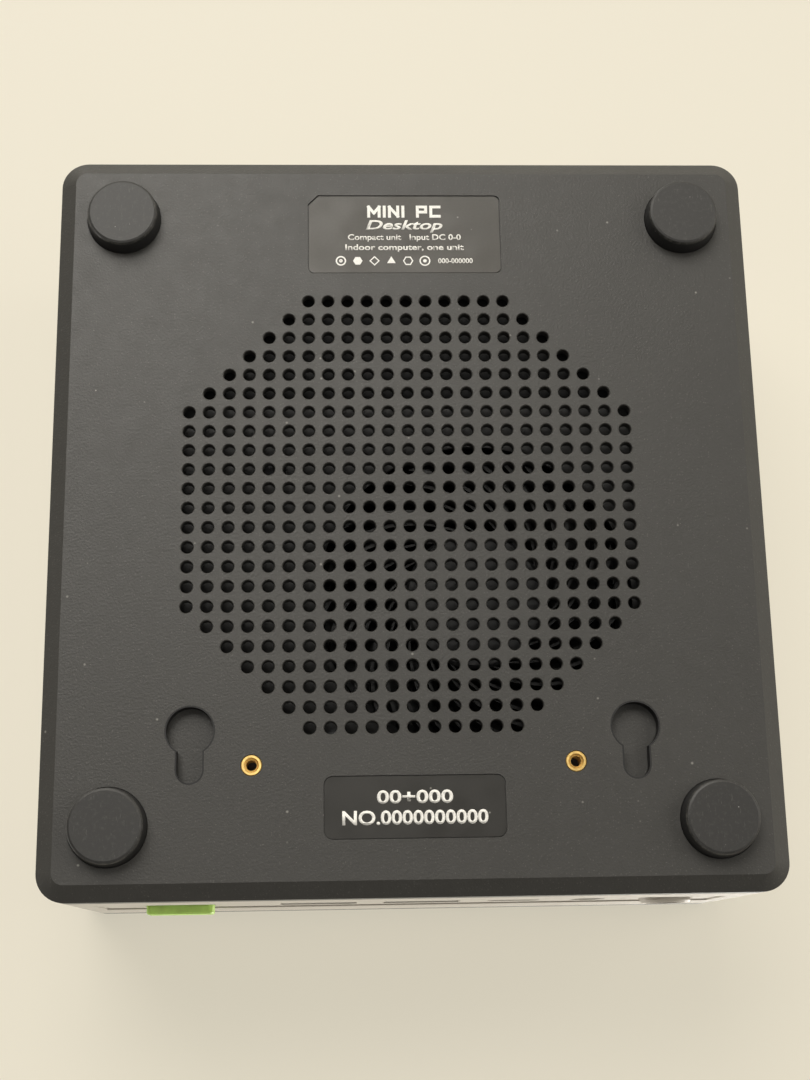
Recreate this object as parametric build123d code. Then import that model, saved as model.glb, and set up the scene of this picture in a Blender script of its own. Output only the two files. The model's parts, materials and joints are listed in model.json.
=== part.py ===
from build123d import *
import math
import os

# Mini PC, millimetres. +Z up, standing on its feet. The origin is under the middle of the
# body on the surface it stands on. The front, with the power button, faces -Y.

# Body
BODY_W = 125.0
BODY_D = 133.0
BODY_H = 58.0
HALF_W = BODY_W / 2
HALF_D = BODY_D / 2
CORNER_R = 4.8
WALL = 1.8
INNER_W = BODY_W - 2 * WALL
INNER_D = BODY_D - 2 * WALL
INNER_R = CORNER_R - WALL
SEAM = 0.2

# Heights of the layers
FOOT_H = 3.4
CHAMFER_H = 1.8
CHAMFER_W = 2.8
FLOOR_TOP = FOOT_H + 1.8
COVER_TOP = 9.4
MID_BASE = COVER_TOP + SEAM
MID_TOP = 41.0
TOP_BASE = MID_TOP + SEAM
RIM_TOP = 53.6
LID_BASE = RIM_TOP + SEAM

# Bottom cover: vent, feet, keyholes, inserts, labels
VENT_PITCH = 3.5
VENT_HOLE_R = 1.08
VENT_EDGE = 0.14
VENT_REACH = 11
VENT_CUT = 16
FOOT_X = 50.8
FOOT_Y = 54.5
FOOT_BASE_R = 6.55
FOOT_END_R = 6.2
FOOT_EDGE = 0.5
FOOT_SEAT_DEPTH = 0.6
KEYHOLE_X = 37.5
KEYHOLE_Y = -38.7
KEYHOLE_R = 4.25
KEYHOLE_SLOT_W = 4.85
KEYHOLE_SLOT = 6.6
KEYHOLE_DEPTH = 2.4
INSERT_X = 27.2
INSERT_Y = -44.6
INSERT_R = 1.8
INSERT_BORE_R = 1.025
INSERT_LEN = 4.0
INSERT_EDGE = 0.15
INSERT_COUNTERSINK = 0.25
RATING_W = 35.1
RATING_D = 15.4
RATING_Y = 51.7
RATING_NOTCH = 1.8
SERIAL_W = 30.4
SERIAL_D = 10.5
SERIAL_Y = -51.8
LABEL_RECESS = 0.35
LABEL_T = 0.2
LABEL_GAP = 0.15
LABEL_CORNER_R = 1.0
SERIAL_CORNER_R = 1.5
COVER_BOSS_R = 5.0
COVER_BOSS_TOP = 8.5
KEYHOLE_WALL = 1.2

# Fasteners
M3_R = 1.5
M25_R = 1.25
M2_R = 1.0
THREAD_GAP = 0.02
BOSS_WALL = 1.4
CASE_SCREW_HEAD_R = 2.8
CASE_SCREW_HEAD_H = 1.8
CASE_SCREW_SEAT = 6.6
CASE_SCREW_LEN = 8.6
SMALL_HEAD_R = 2.3
SMALL_HEAD_H = 1.4
TINY_HEAD_R = 1.9
TINY_HEAD_H = 0.9

# Shell joints: tongues inside the wall, and what ties them to it
TONGUE_GAP = 0.15
TONGUE_T = 1.2
TONGUE_R = 2.8
TIE_H = 1.2
TIE_R = 3.4
POST_R = 3.6
POST_BASE = 8.7
POST_WEB_BASE = 10.5

# Main board
BOARD_W = 114.0
BOARD_D = 124.0
BOARD_T = 1.6
BOARD_BASE = 24.4
BOARD_TOP = BOARD_BASE + BOARD_T
BOARD_R = 2.0
SEAT = 0.03
PARTS_BASE = BOARD_TOP + SEAT
CHIP_X = 30.0
CHIP_Y = -34.0
CHIP_W = 30.0
CHIP_D = 25.0
CHIP_H = 1.0
DIE_W = 14.0
DIE_D = 9.0
DIE_H = 0.95
CHOKE_W = 6.6
CHOKE_H = 3.4
CHOKE_X = 40.0
CHOKE_Y = -40.0
CHOKE_STEP = 8.2
CAN_R = 3.1
CAN_H = 6.0
CAN_X = 48.5
CAN_Y = -38.0
CAN_STEP = 9.0

# Memory, drive, radio card and clock cell on the board
CARD_T = 1.2
MEMORY_X0 = -44.0
MEMORY_X1 = 25.6
MEMORY_Y0 = -26.0
MEMORY_Y1 = 4.0
MEMORY_Z = (28.6, 33.0)
MEMORY_CHIPS = 4
MEMORY_CHIP_W = 11.0
MEMORY_CHIP_STEP = 17.0
MEMORY_ARM_W = 2.2
MEMORY_BAR_Y = (-34.0, -36.4)
MEMORY_BAR_TOP = (5.0, 9.4)
DRIVE_Z = 28.5
DRIVE_T = 0.8
DRIVE_X0 = -52.5
DRIVE_X1 = 28.8
DRIVE_Y = 21.0
DRIVE_W = 21.6
DRIVE_SOCKET_D = 22.0
DRIVE_SOCKET_H = 4.2
SPREADER_X0 = -40.0
SPREADER_X1 = 22.0
SPREADER_Z = 30.7
SPREADER_T = 1.3
SPREADER_RIB_T = 0.9
SPREADER_RIB_STEP = 2.5
SPREADER_TOP = 34.5
RADIO_X0 = 33.5
RADIO_X1 = 55.5
RADIO_Y0 = 2.0
RADIO_Y1 = 26.0
RADIO_Z = 27.6
RADIO_NUTS = ((38.0, 4.8), (51.0, 4.8))
RADIO_NUT_R = 1.0
RADIO_NUT_TOP = 29.4
ANTENNA_X = 60.5
ANTENNA_T = 0.9
ANTENNA_Y0 = -30.0
ANTENNA_Y1 = 8.0
ANTENNA_Z0 = 33.0
ANTENNA_Z1 = 39.0
CELL_X = 43.0
CELL_Y = 42.0
CELL_R = 8.0
CELL_H = 3.18
CELL_HOLDER_W = 19.0
CELL_HOLDER_H = 2.6
CELL_FLOOR = 1.0

# Ports
PORT_Z = 30.0
FRONT_WINDOW_W = 110.0
FRONT_WINDOW_Z0 = 20.0
FRONT_WINDOW_Z1 = 37.0
REAR_WINDOW_Z0 = 11.6
REAR_WINDOW_Z1 = 40.2
REAR_WINDOW_W = 116.0
PANEL_T = 1.4
PANEL_SET = 0.25
PANEL_FIT = 0.15
PANEL_R = 1.0
PORT_GAP = 0.25
PORT_SET = 0.35
PORT_BACK = 1.2
TONGUE_SET = 1.2
BUTTON_X = -46.0
LAMP_X = BUTTON_X + 7.6
LAMP_R = 0.7
AUDIO_X = -32.0
FRONT_USB_C_X = -18.5
FRONT_USB_A_X = (-2.0, 16.5)
EXPANSION_X = 41.0
DC_X = -49.0
LAN_X = (-33.5, -16.0)
STACK_X = 0.8
VIDEO_X = (17.3, 34.6)
REAR_USB_C_X = 49.0
USB_A_W = 13.2
USB_A_H = 5.8
USB_A_ROOM_W = 12.3
USB_A_ROOM_H = 4.9
USB_A_TONGUE_W = 11.2
USB_A_TONGUE_LOW = 0.35
USB_A_TONGUE_HIGH = 2.1
USB_A_DEEP = 14.0
USB_C_W = 9.0
USB_C_H = 3.3
USB_C_DEEP = 8.5
USB_C_ROOM_W = 8.35
USB_C_ROOM_H = 2.6
USB_C_TONGUE_W = 6.6
USB_C_TONGUE_T = 0.7
LAN_W = 15.9
LAN_H = 13.4
LAN_DEEP = 20.0
LAN_ROOM_W = 11.8
LAN_ROOM_LOW = 2.6
LAN_ROOM_HIGH = 10.0
LAN_LATCH_W = 6.0
LAN_LATCH_HIGH = 12.2
LAN_LAMP_X = 6.0
LAN_LAMP_W = 2.4
LAN_LAMP_LOW = 10.8
LAN_LAMP_HIGH = 12.4
STACK_H = 13.8
STACK_DEEP = 17.0
STACK_ROWS = (3.4, 10.4)
VIDEO_W = 15.0
VIDEO_H = 5.6
VIDEO_DEEP = 11.5
VIDEO_WALL = 0.5
VIDEO_TONGUE_W = 11.2
VIDEO_TONGUE_T = 0.9
EXPANSION_W = 11.0
EXPANSION_H = 5.4
EXPANSION_DEEP = 9.0
EXPANSION_SET = 3.2
EXPANSION_WALL = 0.6
PLUG_W = 11.7
PLUG_H = 6.4
PLUG_PROUD = 1.3
PLUG_FLANGE_T = 4.0
PLUG_LEN = 8.4
PLUG_BLADE_W = 9.4
PLUG_BLADE_H = 3.8
AUDIO_R = 1.75
AUDIO_SLEEVE_R = 2.9
AUDIO_DEEP = 12.8
DC_PIN_R = 1.0
DC_BORE_R = 2.75
DC_DEEP = 8.8
DC_SLEEVE_R = 4.2
DC_RAISE = 1.0
BUTTON_R = 4.6
BUTTON_PROUD = 0.9
BUTTON_TRAVEL = 0.6
BUTTON_CLEAR = 0.2
BUTTON_COLLAR_R = 5.8
BUTTON_COLLAR_SET = 3.3
BUTTON_BACK = 4.1

# Cooler: a radial blower under the board that blows through a fin pack at the rear
BLOWER_X = -11.4
BLOWER_Y = -15.4
INTAKE_R = 27.5
BLOWER_BASE = 7.6
BLOWER_SKIN = 0.8
BLOWER_PLATE_W = 95.5
BLOWER_PLATE_D = 86.0
BLOWER_PLATE_X = -1.75
BLOWER_PLATE_Y = -3.0
BLOWER_TOP = 17.4
SCROLL_R = 33.0
SCROLL_WALL = 1.2
OUTLET_Y = 34.0
IMPELLER_R = 26.4
HUB_R = 12.25
HUB_WALL = 1.4
HUB_BASE = 8.8
BLADES = 31
BLADE_SWEEP = 55.0
BLADE_TURN = 2.7
BLADE_BASE = 9.6
BLADE_TOP = 15.4
SHAFT_R = 1.5
RUN_GAP = 0.04
BEARING_R = 3.0
BEARING_BASE = 12.0
FIN_COUNT = 44
FIN_T = 0.35
FIN_Y0 = 35.0
FIN_Y1 = 60.0
EXHAUST_SLOTS = 22
EXHAUST_X0 = -42.0
EXHAUST_STEP = 3.4
EXHAUST_W = 1.8
EXHAUST_H = 7.4
EXHAUST_Z = 16.6
PIPE_R = 2.0
COIL_TOP = 15.8
COIL_INNER_R = 4.05
COIL_OUTER_R = 9.8
COIL_POLES = 6
EAR_OUT = 1.9
EAR_R = 2.6
EAR_H = 3.0

# Service fan over the memory, under the lid
PLATE_BASE = 43.0
PLATE_T = 1.0
FAN_SIZE = 60.0
FAN_H = 8.0
FAN_BASE = PLATE_BASE + PLATE_T
FAN_Y = -6.0
FAN_BORE_R = 28.6
FAN_ROTOR_R = 27.8
FAN_HUB_R = 12.5
FAN_BLADES = 9
FAN_SCREW_PITCH = 50.0
FAN_ARM_H = 1.2
FAN_TUBE_H = 6.2
FAN_COIL_R = 9.6
FAN_COIL_LOW = 1.9
FAN_COIL_HIGH = 5.9
FAN_COIL_POLES = 4
LEDGE_X = 52.0
LEDGE_Y = 56.0
LEDGE_REACH = 4.0
PLATE_SLOTS = 9
PLATE_SLOT_STEP = 8.0

# Lid
LID_T = 1.8
LID_EDGE = 1.2
LID_FIT = 0.4
SKIRT_T = 1.2
SKIRT_H = 2.4
LID_HOLE_R = 1.3
LID_HOLE_STEP = 5.2
LID_HOLE_RINGS = 7
GROOVE_R = 45.0
GROOVE_W = 1.6
GROOVE_DEPTH = 0.5

LEAD_R = 0.8
COAX_R = 0.55


def block(x0, x1, y0, y1, z0, z1):
    """A box between two corners."""
    middle = Pos((x0 + x1) / 2, (y0 + y1) / 2, (z0 + z1) / 2)
    return middle * Box(x1 - x0, y1 - y0, z1 - z0)


def slab(width, depth, z0, z1, radius, x=0.0, y=0.0):
    """A plate with rounded corners."""
    return Pos(x, y, z0) * extrude(RectangleRounded(width, depth, radius), z1 - z0)


def rod(x, y, z0, z1, radius):
    """A round bar along Z."""
    return Pos(x, y, (z0 + z1) / 2) * Cylinder(radius, z1 - z0)


def rod_y(x, z, y0, y1, radius):
    """A round bar along Y."""
    return Pos(x, (y0 + y1) / 2, z) * Rot(90, 0, 0) * Cylinder(radius, y1 - y0)


def bar_y(width, height, x, z, y0, y1, radius):
    """A bar along Y with a rounded section."""
    section = Plane.XZ * RectangleRounded(width, height, radius)
    return Pos(x, y1, z) * extrude(section, y1 - y0)


def turned(profile):
    """A solid of revolution about Z, from (radius, z) points."""
    return revolve(Plane.XZ * make_face(Polyline(*profile, close=True)), Axis.Z)


def corners(x, y):
    """The four places at plus and minus x and y."""
    return [(sx * x, sy * y) for sx in (-1, 1) for sy in (-1, 1)]


def group(pieces):
    """Separate solids that share one node."""
    solids = []
    for piece in pieces:
        solids.extend(piece.solids())
    return Compound(solids)


def fused(first, others):
    """One body from pieces that overlap."""
    return first.fuse(*others)


def save(name, shape):
    """Write one sub-part."""
    os.makedirs("parts", exist_ok=True)
    export_step(shape, f"parts/{name}.step")


def lead(points, radius):
    """A thin lead: straight runs joined by arcs as large as the runs allow."""
    radii = []
    for before, at, after in zip(points, points[1:], points[2:]):
        first = Vector(*at) - Vector(*before)
        second = Vector(*after) - Vector(*at)
        half_turn = math.radians(first.get_angle(second)) / 2
        radii.append(0.45 * min(first.length, second.length) / math.tan(half_turn))
    print("lead radii", [round(bend, 2) for bend in radii])
    path = FilletPolyline(*points, radius=radii)
    start = Plane(origin=path @ 0, z_dir=path % 0)
    return sweep(start * Circle(radius), path=path)


# ---------------------------------------------------------------- bottom cover

def vent_places():
    """Centres of the vent holes: a square grid with its corners cut off."""
    span = range(-VENT_REACH, VENT_REACH + 1)
    return [
        (i * VENT_PITCH, j * VENT_PITCH)
        for i in span
        for j in span
        if abs(i) + abs(j) <= VENT_CUT
    ]


def vent_cutter():
    """One vent hole with a softened rim on its outer face."""
    below = FOOT_H - 0.5
    above = FLOOR_TOP + 0.5
    wide = VENT_HOLE_R + VENT_EDGE
    return turned([
        (0, below), (wide, below), (wide, FOOT_H),
        (VENT_HOLE_R, FOOT_H + VENT_EDGE), (VENT_HOLE_R, above), (0, above),
    ])


def keyhole(grow, z0, z1, side):
    """A keyhole outline: a round mouth with a slot towards the front."""
    x = side * KEYHOLE_X
    mouth = rod(x, KEYHOLE_Y, z0, z1, KEYHOLE_R + grow)
    half = KEYHOLE_SLOT_W / 2 + grow
    slot_end = rod(x, KEYHOLE_Y - KEYHOLE_SLOT, z0, z1, half)
    slot = block(x - half, x + half, KEYHOLE_Y - KEYHOLE_SLOT, KEYHOLE_Y, z0, z1)
    return fused(mouth, [slot_end, slot])


def rating_outline(shrink, z0, z1):
    """The larger label's outline, with one corner cut."""
    plate = slab(RATING_W - 2 * shrink, RATING_D - 2 * shrink, z0, z1, LABEL_CORNER_R, 0, RATING_Y)
    x = RATING_W / 2 - shrink
    y = RATING_Y + RATING_D / 2 - shrink
    notch = Pos(x, y, (z0 + z1) / 2) * Rot(0, 0, 45) * Box(
        RATING_NOTCH * math.sqrt(2), RATING_NOTCH * math.sqrt(2), 2 * (z1 - z0))
    return plate - notch


def serial_outline(shrink, z0, z1):
    """The smaller label's outline."""
    return slab(SERIAL_W - 2 * shrink, SERIAL_D - 2 * shrink, z0, z1,
                SERIAL_CORNER_R - shrink, 0, SERIAL_Y)


def bottom_cover():
    """The chamfered cover with the vent, its pockets and its bosses."""
    slope = math.degrees(math.atan2(CHAMFER_W, CHAMFER_H))
    shoulder = Pos(0, 0, FOOT_H + CHAMFER_H) * RectangleRounded(BODY_W, BODY_D, CORNER_R)
    bevel = extrude(shoulder, amount=CHAMFER_H, dir=(0, 0, -1), taper=slope)
    shell = fused(bevel, [slab(BODY_W, BODY_D, FOOT_H + CHAMFER_H, COVER_TOP, CORNER_R)])
    shell -= slab(INNER_W, INNER_D, FLOOR_TOP, COVER_TOP + 1, INNER_R)
    root = FLOOR_TOP - 0.5
    bosses = [rod(x, y, root, COVER_BOSS_TOP, COVER_BOSS_R) for x, y in corners(FOOT_X, FOOT_Y)]
    bosses += [rod(side * INSERT_X, INSERT_Y, root, FOOT_H + INSERT_LEN, INSERT_R + BOSS_WALL)
               for side in (-1, 1)]
    bosses += [keyhole(KEYHOLE_WALL, root, FOOT_H + KEYHOLE_DEPTH + KEYHOLE_WALL, side)
               for side in (-1, 1)]
    shell = fused(shell, bosses)
    cuts = []
    for x, y in corners(FOOT_X, FOOT_Y):
        cuts.append(rod(x, y, FOOT_H - 1, FOOT_H + FOOT_SEAT_DEPTH, FOOT_BASE_R + 0.12))
        cuts.append(rod(x, y, FOOT_H, CASE_SCREW_SEAT, CASE_SCREW_HEAD_R + 0.3))
        cuts.append(rod(x, y, FOOT_H, COVER_TOP, M3_R + 0.2))
    for side in (-1, 1):
        cuts.append(rod(side * INSERT_X, INSERT_Y, FOOT_H - 1, COVER_TOP, INSERT_R + THREAD_GAP))
        cuts.append(keyhole(0, FOOT_H - 1, FOOT_H + KEYHOLE_DEPTH, side))
    cuts.append(rating_outline(0, FOOT_H - 1, FOOT_H + LABEL_RECESS))
    cuts.append(serial_outline(0, FOOT_H - 1, FOOT_H + LABEL_RECESS))
    shell = shell.cut(*cuts)
    hole = vent_cutter()
    return shell.cut(*[Pos(x, y, 0) * hole for x, y in vent_places()])


def foot(x, y):
    """A round rubber foot with a soft edge, seated in the cover."""
    seat = FOOT_H + FOOT_SEAT_DEPTH - SEAT
    edge = FOOT_EDGE
    body = turned([
        (0, 0), (FOOT_END_R - edge, 0), (FOOT_END_R - 0.3 * edge, 0.3 * edge),
        (FOOT_END_R, edge), (FOOT_BASE_R, FOOT_H), (FOOT_BASE_R, seat), (0, seat),
    ])
    return Pos(x, y, 0) * body


def mount_inserts():
    """Two threaded brass inserts with a countersunk mouth."""
    low = FOOT_H + 0.05
    high = FOOT_H + INSERT_LEN
    sleeve = turned([
        (INSERT_BORE_R + INSERT_COUNTERSINK, low), (INSERT_R - INSERT_EDGE, low),
        (INSERT_R, low + INSERT_EDGE), (INSERT_R, high), (INSERT_BORE_R, high),
        (INSERT_BORE_R, low + INSERT_COUNTERSINK),
    ])
    return group([Pos(side * INSERT_X, INSERT_Y, 0) * sleeve for side in (-1, 1)])


def label(outline):
    """A thin sticker at the bottom of its recess."""
    top = FOOT_H + LABEL_RECESS - 0.01
    return outline(LABEL_GAP, top - LABEL_T, top)


def screw(x, y, head_z, length, head_r, head_h, shank_r):
    """A pan-head screw with a cross recess. The shank goes up from the head."""
    head = rod(x, y, head_z - head_h, head_z, head_r)
    shank = rod(x, y, head_z - 0.01, head_z + length, shank_r)
    arm = 0.16 * head_r
    reach = 0.55 * head_r
    low = head_z - head_h - 0.1
    deep = head_z - 0.35 * head_h
    cross = [block(x - reach, x + reach, y - arm, y + arm, low, deep),
             block(x - arm, x + arm, y - reach, y + reach, low, deep)]
    return fused(head, [shank]).cut(*cross)


def hung_screw(x, y, head_z, length, head_r, head_h, shank_r):
    """The same screw with its head on top and its shank going down."""
    return mirror(screw(x, y, -head_z, length, head_r, head_h, shank_r), Plane.XY)


# ------------------------------------------------------------------- mid shell

def ring(z0, z1):
    """The case wall between two heights."""
    return slab(BODY_W, BODY_D, z0, z1, CORNER_R) - slab(
        INNER_W, INNER_D, z0 - 1, z1 + 1, INNER_R)


def hollow():
    """Room inside the tongues."""
    grow = 2 * (TONGUE_GAP + TONGUE_T)
    return slab(INNER_W - grow, INNER_D - grow, 0, BODY_H, TONGUE_R - 1)


def tongue_ring(z0, z1):
    """A ring just inside the wall, which locates the neighbouring shell."""
    return slab(INNER_W - 2 * TONGUE_GAP, INNER_D - 2 * TONGUE_GAP, z0, z1, TONGUE_R) - hollow()


def tie_ring(z0, z1):
    """A ring that reaches into the wall and holds the tongue to it."""
    return slab(INNER_W + 1, INNER_D + 1, z0, z1, TIE_R) - hollow()


def mid_shell():
    """The side wall, with posts for the cover and the board."""
    shell = ring(MID_BASE, MID_TOP)
    tie_top = MID_BASE + 0.8 + TIE_H
    shell = fused(shell, [tongue_ring(COVER_TOP - TONGUE_T, tie_top),
                          tie_ring(MID_BASE + 0.8, tie_top)])
    posts = []
    for x, y in corners(FOOT_X, FOOT_Y):
        side = math.copysign(1, x)
        posts.append(rod(x, y, POST_BASE, BOARD_BASE, POST_R))
        edge = side * (HALF_W - WALL / 2)
        posts.append(block(min(x, edge), max(x, edge), y - 1, y + 1,
                           POST_WEB_BASE, BOARD_BASE))
    shell = fused(shell, posts)
    cuts = []
    for x, y in corners(FOOT_X, FOOT_Y):
        cuts.append(rod(x, y, 8, 15.6, M3_R + THREAD_GAP))
        cuts.append(rod(x, y, 17.4, BOARD_BASE + 1, M25_R + THREAD_GAP))
    half = FRONT_WINDOW_W / 2
    cuts.append(block(-half, half, -HALF_D - 1, -HALF_D + WALL + 0.01,
                      FRONT_WINDOW_Z0, FRONT_WINDOW_Z1))
    half = REAR_WINDOW_W / 2
    cuts.append(block(-half, half, HALF_D - WALL - 2.6, HALF_D + 1,
                      REAR_WINDOW_Z0, REAR_WINDOW_Z1))
    return shell.cut(*cuts)


def power_bore():
    """Room for the power button through the front panel."""
    return rod_y(BUTTON_X, PORT_Z, -HALF_D - 1, -HALF_D + 4, BUTTON_R + BUTTON_CLEAR)


def front_panel():
    """The insert with the front port openings."""
    width = FRONT_WINDOW_W - 2 * PANEL_FIT
    height = FRONT_WINDOW_Z1 - FRONT_WINDOW_Z0 - 2 * PANEL_FIT
    middle = (FRONT_WINDOW_Z0 + FRONT_WINDOW_Z1) / 2
    y0 = -HALF_D + PANEL_SET
    inside = -HALF_D + WALL
    panel = bar_y(width, height, 0, middle, y0, y0 + PANEL_T, PANEL_R)
    lip = bar_y(width + 3, height + 3, 0, middle, inside + 0.1, inside + 1.1, PANEL_R)
    neck = bar_y(width - 1, height - 1, 0, middle, y0, inside + 1, PANEL_R)
    panel = fused(panel, [neck, lip])
    y1 = -HALF_D + 4
    gap = PORT_GAP
    cuts = [power_bore(),
            rod_y(AUDIO_X, PORT_Z, -HALF_D - 1, y1, AUDIO_SLEEVE_R + gap),
            bar_y(USB_C_W + 2 * gap, USB_C_H + 2 * gap, FRONT_USB_C_X, PORT_Z, -HALF_D - 1, y1, 1.6),
            bar_y(PLUG_W + 2 * gap, PLUG_H + 2 * gap, EXPANSION_X, PORT_Z, -HALF_D - 1, y1, 1.0)]
    for x in FRONT_USB_A_X:
        cuts.append(bar_y(USB_A_W + 2 * gap, USB_A_H + 2 * gap, x, PORT_Z, -HALF_D - 1, y1, 0.5))
    cuts.append(rod_y(LAMP_X, PORT_Z, -HALF_D - 1, y1, LAMP_R))
    return panel.cut(*cuts)


def exhaust_cuts():
    """Upright slots in the rear panel, behind the fin pack."""
    return [bar_y(EXHAUST_W, EXHAUST_H, EXHAUST_X0 + i * EXHAUST_STEP, EXHAUST_Z,
                  HALF_D - 5, HALF_D + 1, EXHAUST_W / 2 - 0.05) for i in range(EXHAUST_SLOTS)]


def rear_panel():
    """The insert with the rear port openings and the exhaust slots."""
    width = REAR_WINDOW_W - 2 * PANEL_FIT
    height = REAR_WINDOW_Z1 - REAR_WINDOW_Z0 - 2 * PANEL_FIT
    middle = (REAR_WINDOW_Z0 + REAR_WINDOW_Z1) / 2
    y1 = HALF_D - 0.6
    panel = bar_y(width, height, 0, middle, y1 - PANEL_T, y1, PANEL_R)
    y0 = HALF_D - 5
    out = HALF_D + 1
    gap = PORT_GAP
    cuts = exhaust_cuts()
    cuts.append(rod_y(DC_X, PORT_Z + DC_RAISE, y0, out, DC_SLEEVE_R + gap))
    for x in LAN_X:
        cuts.append(bar_y(LAN_W + 2 * gap, LAN_H + 2 * gap, x, PARTS_BASE + LAN_H / 2, y0, out, 0.4))
    cuts.append(bar_y(USB_A_W + 2 * gap, STACK_H + 2 * gap, STACK_X,
                      PARTS_BASE + STACK_H / 2, y0, out, 0.5))
    for x in VIDEO_X:
        cuts.append(bar_y(VIDEO_W + 2 * gap, VIDEO_H + 2 * gap, x, PORT_Z, y0, out, 0.6))
    cuts.append(bar_y(USB_C_W + 2 * gap, USB_C_H + 2 * gap, REAR_USB_C_X, PORT_Z, y0, out, 1.6))
    return panel.cut(*cuts)


# --------------------------------------------------------------- top and lid

def top_shell():
    """The upper rim, with ledges that carry the service plate."""
    shell = ring(TOP_BASE, RIM_TOP)
    tie_top = TOP_BASE + 0.4 + TIE_H
    rings = [tongue_ring(MID_TOP - 0.8, tie_top), tie_ring(TOP_BASE + 0.4, tie_top)]
    ledges = []
    for x, y in corners(LEDGE_X, LEDGE_Y):
        far_x = math.copysign(HALF_W - WALL / 2, x)
        far_y = math.copysign(HALF_D - WALL / 2, y)
        near_x = x - math.copysign(LEDGE_REACH, x)
        near_y = y - math.copysign(LEDGE_REACH, y)
        ledges.append(block(min(near_x, far_x), max(near_x, far_x), min(near_y, far_y),
                            max(near_y, far_y), TOP_BASE + 0.1, PLATE_BASE - SEAT))
    shell = fused(shell, rings + ledges)
    outer = slab(BODY_W + 2, BODY_D + 2, 0, BODY_H, CORNER_R) - slab(
        BODY_W - 1, BODY_D - 1, -1, BODY_H + 1, CORNER_R - 0.5)
    shell -= outer - slab(BODY_W, BODY_D, 0, BODY_H, CORNER_R)
    return shell.cut(*[rod(x, y, MID_BASE, RIM_TOP, M25_R + THREAD_GAP)
                       for x, y in corners(LEDGE_X, LEDGE_Y)])


def lid_vents():
    """Rings of round holes in the middle of the lid."""
    holes = [rod(0, 0, BODY_H - 4, BODY_H + 1, LID_HOLE_R)]
    for row in range(1, LID_HOLE_RINGS + 1):
        count = 6 * row
        for i in range(count):
            angle = 2 * math.pi * (i + 0.5 * (row % 2)) / count
            x = LID_HOLE_STEP * row * math.cos(angle)
            y = LID_HOLE_STEP * row * math.sin(angle)
            holes.append(rod(x, y, BODY_H - 4, BODY_H + 1, LID_HOLE_R))
    return holes


def top_lid():
    """The lift-off lid with a vented middle and a skirt inside the rim."""
    lid = slab(BODY_W, BODY_D, LID_BASE, BODY_H, CORNER_R)
    lid = chamfer(lid.faces().sort_by(Axis.Z)[-1].edges(), LID_EDGE)
    width = INNER_W - 2 * LID_FIT
    depth = INNER_D - 2 * LID_FIT
    radius = INNER_R - LID_FIT
    lid -= slab(width, depth, LID_BASE - 1, BODY_H - LID_T, radius)
    skirt = slab(width, depth, RIM_TOP - SKIRT_H, BODY_H - LID_T + 0.3, radius) - slab(
        width - 2 * SKIRT_T, depth - 2 * SKIRT_T, 0, BODY_H, radius - SKIRT_T)
    lid = fused(lid, [skirt])
    groove = rod(0, 0, BODY_H - GROOVE_DEPTH, BODY_H + 1, GROOVE_R)
    groove -= rod(0, 0, 0, BODY_H + 2, GROOVE_R - GROOVE_W)
    return lid.cut(groove, *lid_vents())


def fan_screw_places():
    """Places of the service fan's four screws."""
    half = FAN_SCREW_PITCH / 2
    return [(x, y + FAN_Y) for x, y in corners(half, half)]


def fan_screw_bores():
    """Bores for the service fan's screws."""
    return [rod(x, y, 0, BODY_H, M2_R + THREAD_GAP) for x, y in fan_screw_places()]


def service_plate():
    """The steel plate over the memory, with the service fan's opening."""
    plate = slab(INNER_W - 3.6, INNER_D - 3.6, PLATE_BASE, PLATE_BASE + PLATE_T, 1.6)
    cuts = [rod(0, FAN_Y, 0, BODY_H, FAN_BORE_R)]
    cuts += [rod(x, y, 0, BODY_H, M25_R + 0.2) for x, y in corners(LEDGE_X, LEDGE_Y)]
    cuts += fan_screw_bores()
    first = -PLATE_SLOT_STEP * (PLATE_SLOTS - 1) / 2
    for i in range(PLATE_SLOTS):
        cuts.append(slab(3.0, 14.0, 0, BODY_H, 1.4, first + PLATE_SLOT_STEP * i, 46))
    return plate.cut(*cuts)


def service_fan_frame():
    """The square fan frame with four struts to its motor base."""
    frame = slab(FAN_SIZE, FAN_SIZE, FAN_BASE + SEAT, FAN_BASE + FAN_H, 4.0, 0, FAN_Y)
    frame -= rod(0, FAN_Y, 0, BODY_H, FAN_BORE_R - 0.2)
    base = rod(0, FAN_Y, FAN_BASE + SEAT, FAN_BASE + FAN_ARM_H, 11.0)
    arms = []
    for turn in (25, 115, 205, 295):
        arm = Pos(0, FAN_Y, 0) * Rot(0, 0, turn) * block(
            8, FAN_BORE_R + 0.6, -1.1, 1.1, FAN_BASE + SEAT, FAN_BASE + FAN_ARM_H)
        arms.append(arm)
    tube = rod(0, FAN_Y, FAN_BASE + SEAT, FAN_BASE + FAN_TUBE_H, BEARING_R + 1.0)
    frame = fused(frame, [base, tube] + arms)
    socket = rod(0, FAN_Y, FAN_BASE + 0.8, BODY_H, BEARING_R + 0.01)
    return frame.cut(socket, *fan_screw_bores())


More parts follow.
